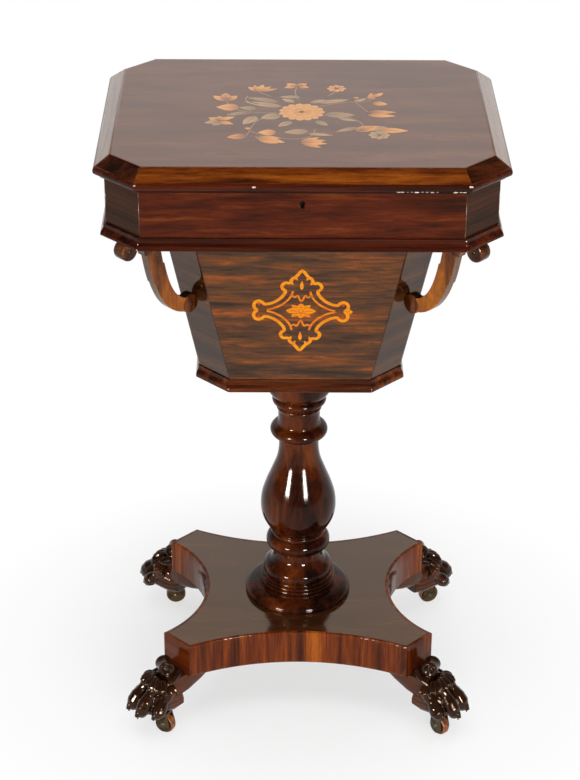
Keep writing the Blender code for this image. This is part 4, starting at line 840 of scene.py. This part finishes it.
# Box: eight rosewood-veneered boards mitred round a pine bottom, with plain partitions that make places for reels.
# A line of boxwood runs down every corner, and an ogee moulding is planted round the foot.
box_tones = ("#31140b", "#4a1c0f", "#5e2611", "#7e401a")
box_cant = {"streak_mm": 6, "run_mm": 160, "tones": ("#160803", "#2e150a", "#40210e", "#553017"), "ior": 1.23,
            "film": "#ffd2ac"}
box_wood = veneers("box", {"streak_mm": 4, "run_mm": 38, "tones": box_tones, "ior": 1.21},
                   {"streak_mm": 4, "run_mm": 60, "tones": box_tones}, box_cant)
for side, laid in LAID.items():
    bm = solid("box_" + side)
    ease(bm, 0.0004, shortest=0.02)
    settle("box_board_" + side, bm, [box_wood[laid]], "stand", "rosewood", "box_" + side)

# Waxed cedar: pale brown, long soft grain and a low sheen.
lining, tree, place = blank("waxed_pale_cedar")
long = add(tree, "Mapping", {"Vector": (place, "Object"), "Scale": (0.12, 0.006, 0.006)}, vector_type="TEXTURE")
grain = add(tree, "TexNoise", {"Vector": long, "Scale": 1.0, "Detail": 5.0, "Roughness": 0.6, "Distortion": 0.5})
tone = add(tree, "ValToRGB", {0: grain}, stops=[(0.34, "#8a5a32"), (0.52, "#b07c48"), (0.68, "#c89a64")])
relief = add(tree, "Bump", {"Strength": 0.1, "Distance": 0.0004, "Height": grain})
body = add(tree, "BsdfPrincipled", {"Base Color": tone, "Roughness": 0.5, "IOR": 1.45, "Normal": relief})
add(tree, "OutputMaterial", {"Surface": body})
names = {"box_bottom": "box_bottom_board"}
names.update(("partition_" + side, "reel_partition_" + side) for side in ("front", "back", "left", "right"))
for node, name in names.items():
    bm = solid(node)
    ease(bm, 0.0006, shortest=0.02)
    settle(name, bm, [lining], "stand", "lining", node)

BOX_PLAN = (0.2098, 0.1700, 0.0378)
MOULD = 0.0066
edge = [(0.0003, 0.0), (MOULD - 0.0003, 0.0), (MOULD, 0.0003), (MOULD, 0.0015)]
edge += [(MOULD - 0.55 * MOULD * math.sin(0.5 * math.pi * i / 12) ** 2, 0.0015 + 0.0087 * i / 12) for i in range(1, 12)]
edge += [(0.45 * MOULD, 0.0102), (0.45 * MOULD, 0.0129), (0.45 * MOULD - 0.0003, 0.0132), (0.0003, 0.0132)]
bm = bmesh.new()
skin(bm, [octagon(BOX_PLAN, d, BOX_BASE_Z + h, 0.003) for d, h in edge], closed=True)
moulding_wood = rosewood("moulding_rosewood", 3, 120, ("#1a0904", "#361208", "#4f1c0b", "#662e12"), ior=1.26, rub="#4a2817")
settle("foot_moulding", bm, [moulding_wood], "stand", "rosewood", "box_moulding")

# Stringing: a millimetre line of boxwood let into a groove down every corner of the box. Each is one thin strip,
# glued in along the arris and levelled with the veneer.

# Boxwood under old polish: a thin brown line, pale only where it has been rubbed.
boxwood, tree, place = blank("boxwood_stringing")
cloud = add(tree, "TexNoise", {"Vector": (place, "Object"), "Scale": 90.0, "Detail": 5.0, "Roughness": 0.7})
tone = add(tree, "ValToRGB", {0: cloud}, stops=[(0.40, "#2c150b"), (0.56, "#6b4328"), (0.70, "#ab8662")])
body = add(tree, "BsdfPrincipled", {"Base Color": tone, "Roughness": 0.35, "IOR": 1.45})
add(tree, "OutputMaterial", {"Surface": body})


def pattern(name, result, **inputs):
    """A new tree of geometry nodes with named inputs, and the node that gives them."""
    tree = bpy.data.node_groups.new(name, "GeometryNodeTree")
    for label, kind in inputs.items():
        tree.interface.new_socket(label, in_out="INPUT", socket_type="NodeSocket" + kind)
    tree.interface.new_socket(result, in_out="OUTPUT", socket_type="NodeSocketGeometry")
    return tree, add(tree, "NodeGroupInput")


def dress(tree, given, shape):
    """Ends a tree: what it placed becomes plain mesh and takes its finish."""
    whole = add(tree, "GeometryNodeRealizeInstances", {0: shape})
    done = add(tree, "GeometryNodeSetMaterial", {"Geometry": whole, "Material": (given, "Finish")})
    add(tree, "NodeGroupOutput", {0: done})


string_tree, given = pattern("stringing", "Strip", Path="Geometry", Width="Float", Finish="Material")
path = add(string_tree, "GeometryNodeMeshToCurve", {0: (given, "Path")})
section = add(string_tree, "GeometryNodeCurvePrimitiveQuadrilateral",
        {"Width": (given, "Width"), "Height": (given, "Width")})
strip = add(string_tree, "GeometryNodeCurveToMesh", {"Curve": path, "Profile Curve": section, "Fill Caps": True})
dress(string_tree, given, strip)


def grown(tree, start, sizes):
    """Runs a node tree over a start mesh with its named sizes and returns the plain result."""
    carrier = bpy.data.objects.new("carrier", start)
    scene.collection.objects.link(carrier)
    work = carrier.modifiers.new("work", "NODES")
    work.node_group = tree
    for item in tree.interface.items_tree:
        if item.in_out == "INPUT" and item.name in sizes:
            work[item.identifier] = sizes[item.name]
    made = bpy.data.meshes.new_from_object(carrier.evaluated_get(bpy.context.evaluated_depsgraph_get()))
    bpy.data.objects.remove(carrier, do_unlink=True)
    bm = bmesh.new()
    bm.from_mesh(made)
    return bm


lines = bpy.data.meshes.new("corner_lines")
tops, lows = octagon(BOX_PLAN, -0.0001, 0.7193), octagon(BOX_PLAN, -0.0001, 0.6679)
points = [p for pair in zip(tops, lows) for p in pair]
lines.from_pydata(points, [(i, i + 1) for i in range(0, 16, 2)], [])
strings = grown(string_tree, lines, {"Width": 0.0010, "Finish": boxwood})
settle("corner_stringing", strings, [boxwood], "stand", "rosewood")

# Lock: a brass case let into the front board, an iron bolt in it, a link plate with two staples on the lid, and a
# thin brass liner in the keyhole. The front shows only the keyhole. The liner and the case's faces towards the front
# are painted near-black: painted shade of the dark inside of the keyhole.
old_brass = metal("old_brass", "#a98a4c", "#5e4a26", 0.32, 6)
keyhole_shade_brass = metal("brass_painted_black_as_shade", "#1c150c", "#090705", 0.6, 3)
finishes = {"lock_case": old_brass, "lock_link_plate": old_brass, "keyhole_liner": keyhole_shade_brass, "lock_bolt": dark_iron}
for node, finish in finishes.items():
    frame["nodes"][node].data.materials.clear()
    frame["nodes"][node].data.materials.append(finish)
case = frame["nodes"]["lock_case"].data
case.materials.append(keyhole_shade_brass)
# The case's faces towards the front take the near-black brass: painted shade seen through the keyhole.
for face in case.polygons:
    face.material_index = 1 if face.normal.y < -0.5 else 0

# Hinges: two brass butts let into the back board and the lid, on iron pins, each leaf held by three screws whose
# heads lie level in their countersinks.
for hand in ("left", "right"):
    for part, finish in (("box_leaf", old_brass), ("lid_leaf", old_brass), ("pin", dark_iron)):
        node = frame["nodes"]["hinge_%s_%s" % (hand, part)]
        node.data.materials.clear()
        node.data.materials.append(finish)

row_tree, given = pattern("screw_row", "Screws", Head="Geometry", Count="Int", Start="Vector", Step="Vector",
                          Finish="Material")
row = add(row_tree, "GeometryNodeMeshLine", {"Count": (given, "Count"), "Start Location": (given, "Start"),
        "Offset": (given, "Step")})
heads = add(row_tree, "GeometryNodeInstanceOnPoints", {"Points": row, "Instance": (given, "Head")})
dress(row_tree, given, heads)


SCREW_R = 0.0017


def screw_row(bm, facing, count, start, step):
    """A row of flat screw heads, each two half rounds beside a slot, that face one way from their plate."""
    one = bmesh.new()
    for half in (0, math.pi):
        arc = [half + math.radians(10 + 16 * k) for k in range(11)]
        face = [(SCREW_R * math.cos(w), SCREW_R * math.sin(w)) for w in arc]
        skin(one, [[facing @ Vector((r * x, r * y, h)) for x, y in face]
                   for r, h in ((0.7, -0.0006), (1.0, 0.00002), (0.94, 0.00009))])
    sizes = {"Count": count, "Start": start, "Step": step, "Finish": old_brass}
    bm.from_mesh(cast("screws", grown(row_tree, cast("screw_head", one), sizes)))


up, down, inward = Matrix.Identity(4), Matrix.Rotation(math.pi, 4, "X"), Matrix.Rotation(-math.pi / 2, 4, "X")
HINGE_X, HINGE_Y, PITCH_X, BOX_LEAF_Z, LID_LEAF_Z = 0.115, 0.1658, 0.0098, 0.7195, 0.7198
LINK_SCREW, CASE_SCREW = 0.0164, 0.0200
case_low, case_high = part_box("lock_case")
link_low, link_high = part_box("lock_link_plate")
fixed, lifted = bmesh.new(), bmesh.new()
for x in (-HINGE_X, HINGE_X):
    screw_row(fixed, up, 3, (x - PITCH_X, HINGE_Y, BOX_LEAF_Z), (PITCH_X, 0, 0))
    screw_row(lifted, down, 3, (x - PITCH_X, HINGE_Y, LID_LEAF_Z), (PITCH_X, 0, 0))
screw_row(lifted, down, 2, (-LINK_SCREW, 0.5 * (link_low[1] + link_high[1]), LID_LEAF_Z), (2 * LINK_SCREW, 0, 0))
for z in (case_low[2] + 0.004, case_high[2] - 0.005):
    screw_row(fixed, inward, 2, (-CASE_SCREW, case_high[1], z), (2 * CASE_SCREW, 0, 0))
settle("stand_screws", fixed, [old_brass], "stand", "brass")
settle("lid_screws", lifted, [old_brass], "lid", "brass")

# Lid: a thick board veneered with rosewood whose colour has gone grey-brown under light, a broad bevel cross-banded
# round it, and a half-round bead planted under the edge.
lid_wood = rosewood("lid_top_rosewood", 8, 50, ("#502c19", "#5a321d", "#633922", "#714629"), ior=1.6, shine=0.15,
        film="#fff8f2")
bevel_wood = rosewood("lid_bevel_rosewood", 3.6, 42, ("#260d03", "#4a1d05", "#673008", "#8a470e"))
# The side bevels' pale grey-brown colour is painted reflection of the white room, laid over their real polish.
bevel_side_painted_reflection = rosewood("lid_bevel_painted_reflection_turned", 4, 60, ("#664e42", "#785e50", "#886e60", "#987e70"), turn=90, ior=1.72,
                      shine=0.12, film="#fff8f2")
bevel_cant = rosewood("lid_bevel_corner_rosewood", 5, 60, ("#170904", "#2c1006", "#411b08", "#572a0c"), turn=30)
joint_painted_shade_wood = rosewood("lid_joint_painted_shade_rosewood", 3, 40, ("#140804", "#200d06", "#2e130a", "#3c1c0e"), ior=1.2, shine=0.3,
        rub="#3c1c0e")
LEVEL, LID_TOP, JOINT_TOP = 0.0002, 0.7446, 0.7200
bm = solid("lid_panel")
bmesh.ops.dissolve_limit(bm, angle_limit=math.radians(1), verts=bm.verts, edges=bm.edges)


def outer_edge(v):
    """Whether a point lies out at the lid's edge, past the walls of the box."""
    return max(abs(v.co.x) - 0.205, abs(v.co.y) - 0.165) > 0 or abs(v.co.x) + abs(v.co.y) > 0.340


joint = [e for e in bm.edges if e.calc_length() > 0.030 and e.calc_face_angle(0) > 1.0
         and max(v.co.z for v in e.verts) < JOINT_TOP and all(outer_edge(v) for v in e.verts)]
bmesh.ops.bevel(bm, geom=joint, offset=0.0013, segments=1, profile=0.5, affect="EDGES", clamp_overlap=True)
ease(bm, 0.0005, sharp=28.0, shortest=0.05)
for v in bm.verts:
    if v.co.z > LID_TOP:
        v.co.z -= LEVEL
# The bevels take their woods. Faces that look sideways or down, the board's edge and the joint under the bead, take a
# near-black finish as painted shade.
for face in bm.faces:
    if 0.2 < face.normal.z < 0.97:
        canted = min(abs(face.normal.x), abs(face.normal.y)) > 0.2
        face.material_index = 3 if canted else 2 if abs(face.normal.x) > 0.5 else 1
    elif -0.9 < face.normal.z < 0.2:
        face.material_index = 4
settle("lid_board", bm, [lid_wood, bevel_wood, bevel_side_painted_reflection, bevel_cant, joint_painted_shade_wood], "lid", "rosewood", "lid_panel")

LID_PLAN = (0.2206, 0.1790, 0.0447)
edge = mm((-5.7, 732.5), (-5.7, 724.1), *swell(724.1, 732.5, -1.0, 1.6, 14))
bm = bmesh.new()
skin(bm, [octagon(LID_PLAN, d, z, 0.003) for d, z in edge], closed=True)
settle("edge_bead", bm, [moulding_wood], "lid", "rosewood", "lid_bead")

# Marquetry on the lid: a spray of flowers, buds and leaves sawn from satinwood, box and green-stained sycamore, shaded
# at the roots in hot sand, laid into the veneer and polished over with it.


def marquetry(name, pale, full, scorched):
    """Sawn veneer: a pale fine-grained wood, scorched brown towards the root of every petal."""
    mat, tree, place = blank(name)
    long = add(tree, "Mapping", {"Vector": (place, "Object"), "Scale": (0.02, 0.0022, 0.0022)}, vector_type="TEXTURE")
    figure = add(tree, "TexNoise", {"Vector": long, "Scale": 1.0, "Detail": 4.0})
    shade = add(tree, "Attribute", attribute_name="shade")
    mixed = add(tree, "Math", {0: figure, 1: 0.35, 2: (shade, "Fac")}, operation="MULTIPLY_ADD")
    tone = add(tree, "ValToRGB", {0: mixed}, stops=[(0.10, pale), (0.42, full), (1.0, scorched)])
    body = add(tree, "BsdfPrincipled", {"Base Color": tone, "Roughness": 0.2, "IOR": 1.6})
    add(tree, "OutputMaterial", {"Surface": body})
    return mat


flower_wood = marquetry("satinwood_petals", "#d89850", "#c98138", "#6b3c1c")
green_wood = marquetry("faded_green_sycamore", "#b08a60", "#9c784e", "#5e4428")

rosette_tree, given = pattern("rosette", "Flower", Petal="Geometry", Count="Int", Reach="Float", Finish="Material")
ring = add(rosette_tree, "GeometryNodeMeshCircle", {"Vertices": (given, "Count"), "Radius": (given, "Reach")})
number = add(rosette_tree, "GeometryNodeInputIndex")
step = add(rosette_tree, "Math", {0: 2 * math.pi, 1: (given, "Count")}, operation="DIVIDE")
turn = add(rosette_tree, "Math", {0: number, 1: step}, operation="MULTIPLY")
spin = add(rosette_tree, "CombineXYZ", {"Z": turn})
petals = add(rosette_tree, "GeometryNodeInstanceOnPoints", {"Points": ring, "Instance": (given, "Petal"), "Rotation": spin})
dress(rosette_tree, given, petals)

LID_FACE = 0.74480


def petal(bm, x, y, length, width, angle, bend, root, lift, rib, full):
    """One petal or leaf of the spray, placed in millimetres on the lid with its root at x, y."""
    shape = leaf_shape(length / 1000, width / 1000, bend)
    n = len(shape)
    edge = [full + root * max(0.0, 1 - 1.6 * k / (n // 2)) for k in range(1, n // 2)]
    shades = [root + full] + edge + [0.1 + full] + edge[::-1]
    place = placed(x / 1000, y / 1000, LID_FACE + 0.00001 * lift, angle)
    plate(bm, place, shape, shades, proud=0.00003)
    if rib:
        vein = [(k * length / 8000, bend * length / 1000 * (k / 8) ** 2) for k in range(1, 7)]
        band(bm, place, vein, 0.0006, shade=0.75, proud=0.00004)


def flower(bm, x, y, rows):
    """A round flower of rows of petals, each row (count, reach, length, width), laid from the outside in."""
    for lift, (count, reach, length, width) in enumerate(rows):
        one = bmesh.new()
        shape = leaf_shape(length / 1000, width / 1000, blunt=1.25)
        scorch, tint = [0.62, 0.42, 0.22], 0.12 * (lift % 2)
        shades = [0.8] + scorch + [0.0] * (len(shape) - 7) + scorch[::-1]
        plate(one, Matrix.Identity(4), shape, [tint + s for s in shades], proud=0.00003)
        sizes = {"Count": count, "Reach": reach / 1000, "Finish": flower_wood}
        made = grown(rosette_tree, cast("petal", one), sizes)
        made.transform(placed(x / 1000, y / 1000, LID_FACE + 0.00001 * (1.6 * lift + 2)))
        bm.from_mesh(cast("flower", made))


blooms = bmesh.new()
blooms.verts.layers.float.new("shade")
flower(blooms, 0, -5, [(15, 14, 12, 9.5), (13, 10.5, 11, 8.5), (11, 7.2, 10, 7.5), (8, 4.3, 8, 6.5), (6, 1.5, 6.5, 4.8)])
flower(blooms, 40, 68, [(8, 4, 7, 6), (5, 1, 6, 5)])
for k, (x, y, length, width, angle, bend) in enumerate((
        (-84, 28, 22, 12, 128, 0.1), (-84, 28, 20, 12, 60, -0.1), (-84, 29, 24, 13, 94, 0), (-69, 8, 26, 20, 178, 0),
        (-90, -31, 15, 11, 140, 0.1), (-90, -31, 13, 10, 92, 0), (-92, -28, 20, 9, 16, 0.1),
        (-92, -34, 19, 10, -20, -0.1), (-59, -76, 23, 15, 188, 0.05), (-28, -66, 20, 17, 178, 0),
        (-49, -80, 26, 11, 2, -0.1), (-47, -85, 24, 11, -36, 0.1), (-49, -82, 33, 14, -18, -0.08),
        (-2, -92, 24, 10, 30, 0.05), (-2, -94, 26, 10, -30, -0.05), (-2, -93, 29, 11, -9, 0), (-2, -93, 28, 11, 11, 0),
        (-49, 58, 24, 8, 18, 0.05), (-49, 58, 18, 8, 128, 0), (-49, 58, 22, 8, 46, 0), (-49, 58, 20, 8, 102, 0),
        (-49, 58, 22, 9, 74, 0), (-5, 75, 14, 11, 28, 0.1), (-5, 75, 15, 11, -14, -0.1), (-5, 75, 14, 11, 152, -0.1),
        (-5, 75, 15, 11, 194, 0.1), (80, 30, 24, 9, 104, -0.2), (80, 42, 18, 8, 40, 0.1), (79, 24, 18, 13, -22, 0.05),
        (72, -6, 33, 12, 6, -0.08), (72, -13, 32, 11, -10, 0.06), (58, -62, 30, 17, 38, -0.1),
        (62, -60, 22, 9, 44, -0.1), (82, -57, 33, 15, -8, 0.06), (-59, -50, 8, 6, 265, 0), (58, 36, 8, 6, 40, 0))):
    petal(blooms, x, y, length, width, angle, bend, 0.6, lift=3 + 0.25 * k, rib=length > 22 and width > 12,
            full=0.13 * (k * 7 % 3))
settle("flower_marquetry", blooms, [flower_wood], "lid", "rosewood")

greens = bmesh.new()
greens.verts.layers.float.new("shade")
flower(greens, 83, -72, [(8, 4, 8, 7), (5, 1, 6, 5)])
for k, (x, y, length, width, angle, bend) in enumerate((
        (-22, 12, 44, 13, 168, -0.12), (-26, 24, 38, 11, 150, 0.14), (-1, 40, 24, 9, 172, 0.1),
        (18, 24, 36, 11, 10, 0.08), (25, -12, 34, 17, -6, 0.05), (-24, -14, 24, 18, 205, 0.05),
        (-51, -18, 28, 14, 246, -0.08), (-50, 4, 20, 12, 168, 0), (7, -62, 27, 15, 184, 0.05),
        (6, -68, 28, 8, -16, 0.1), (61, -50, 28, 9, 204, 0.08), (10, 22, 20, 9, 34, 0), (-8, 24, 18, 9, 140, 0),
        (16, -30, 20, 10, -58, 0.1), (-12, -32, 22, 11, 236, -0.1), (58, 28, 18, 7, 20, 0.2),
        (-60, -6, 26, 7, 196, 0.1), (40, -22, 22, 8, -30, 0.1), (-91, -33, 17, 10, 196, 0.1),
        (-90, -34, 14, 11, 242, 0), (64, -58, 30, 15, 24, -0.1))):
    petal(greens, x, y, length, width, angle, bend, 0.35, lift=0.15 * k, rib=width > 10, full=0.12 * (k * 5 % 3))
for line in (
        [(-18, -8), (-46, -28), (-55, -50), (-58, -66), (-61, -76)], [(-57, -60), (-46, -70), (-30, -68)],
        [(-25, -8), (-55, -6), (-75, 4), (-84, 28)], [(20, 12), (46, 24), (66, 26), (80, 32)],
        [(26, -14), (50, -20), (63, -34), (66, -50), (58, -60)], [(66, -50), (76, -60), (84, -58)],
        [(14, -56), (10, -74), (-6, -84), (-36, -80)], [(-4, 34), (-7, 55), (-5, 72)],
        [(-34, 42), (-42, 50), (-49, 58)], [(30, 44), (35, 52), (38, 60)], [(-56, -8), (-78, -18), (-92, -28)],
        [(60, 24), (66, 12), (73, -4)], [(-50, -76), (-49, -82)], [(-60, 44), (-62, 30), (-48, 18)]):
    stem = [(x / 1000, y / 1000) for x, y in flow(line, 6)]
    band(greens, Matrix.Translation((0, 0, LID_FACE)), stem, 0.0012, shade=0.3, proud=0.00003)
settle("leaf_marquetry", greens, [green_wood], "lid", "rosewood")

# Chips: where knocks took the veneer off an arris the pale ground shows, along the lid's bead, at the corners of the
# box moulding and of the well's base, and on the platform's front edge. Each is a ragged flake set into the edge.

# Bare pine: pale, dull and a little cloudy.
bare_pine, tree, place = blank("bare_pine_ground")
cloud = add(tree, "TexNoise", {"Vector": (place, "Object"), "Scale": 420.0, "Detail": 3.0})
tone = add(tree, "ValToRGB", {0: cloud}, stops=[(0.35, "#c09a82"), (0.60, "#f4e4d8")])
body = add(tree, "BsdfPrincipled", {"Base Color": tone, "Roughness": 0.7, "IOR": 1.45})
add(tree, "OutputMaterial", {"Surface": body})

flake_tree, given = pattern("flakes", "Flakes", Places="Geometry", Size="Float", Stretch="Float", Finish="Material")
spots = add(flake_tree, "GeometryNodeMeshToPoints", {"Mesh": (given, "Places")})
lump = add(flake_tree, "GeometryNodeMeshIcoSphere", {"Radius": (given, "Size"), "Subdivisions": 2})
vary = add(flake_tree, "FunctionNodeRandomValue", {2: 0.5, 3: 1.2, "Seed": 7}, data_type="FLOAT")
long = add(flake_tree, "Math", {0: (vary, 1), 1: (given, "Stretch")}, operation="MULTIPLY")
scale = add(flake_tree, "CombineXYZ", {"X": long, "Y": 0.8, "Z": (vary, 1)})
laid = add(flake_tree, "GeometryNodeInstanceOnPoints", {"Points": spots, "Instance": lump, "Scale": scale})
whole = add(flake_tree, "GeometryNodeRealizeInstances", {0: laid})
where = add(flake_tree, "GeometryNodeInputPosition")
rag = add(flake_tree, "TexNoise", {"Vector": where, "Scale": 1300.0, "Detail": 2.0})
rag = add(flake_tree, "VectorMath", {0: (rag, 1), 1: (0.5, 0.5, 0.5)}, operation="SUBTRACT")
rag = add(flake_tree, "VectorMath", {0: rag, "Scale": 0.0008}, operation="SCALE")
ragged = add(flake_tree, "GeometryNodeSetPosition", {"Geometry": whole, "Offset": rag})
dress(flake_tree, given, ragged)

LIP_Y, LIP_Z, HOLLOW_R, HOLLOW_Y, NOSING_Z = -0.1787, 0.7246, 0.2856, 0.3867, 0.1147
lip = [(x, LIP_Y, LIP_Z) for x in (0.0995, 0.104, 0.109, 0.1135, 0.1185, 0.1245, 0.1290, 0.1345, 0.1400, 0.159, 0.1645,
                                   0.1685)]
lip += [(-0.0510, -0.1800, 0.7297), (-0.1752, -0.1797, 0.7306), (0.1749, -0.1797, 0.7306)]
nosing = [(x, math.sqrt(HOLLOW_R ** 2 - x * x) - HOLLOW_Y, NOSING_Z)
          for x in (-0.087, -0.081, -0.0576, 0.076, 0.082, 0.090, 0.118, 0.1275)]
knocks = [octagon(BOX_PLAN, out, BOX_BASE_Z + h)[k] for k, out, h in (
    (0, 0.0062, 0.0014), (0, 0.0041, 0.0068), (1, 0.0062, 0.0014), (1, 0.0041, 0.0068), (1, 0.0027, 0.0112))]
knocks += [octagon(WELL_FOOT, out, WELL_BASE_Z + h)[k] for k, out, h in (
    (0, 0.0037, 0.0010), (0, 0.0036, 0.0046), (1, 0.0037, 0.0010), (1, 0.0036, 0.0046))]
for name, places, size, stretch, body in (
        ("lid_chips", lip, 0.0011, 2.2, "lid"), ("platform_chips", nosing, 0.0006, 4.0, "stand"),
        ("moulding_chips", knocks, 0.0008, 1.0, "stand")):
    start = bpy.data.meshes.new(name)
    start.from_pydata(places, [], [])
    flakes = grown(flake_tree, start, {"Size": size, "Stretch": stretch, "Finish": bare_pine})
    for v in flakes.verts:
        v.co.y = max(v.co.y, cad_box[0][1])
    settle(name, flakes, [bare_pine], body, "rosewood")
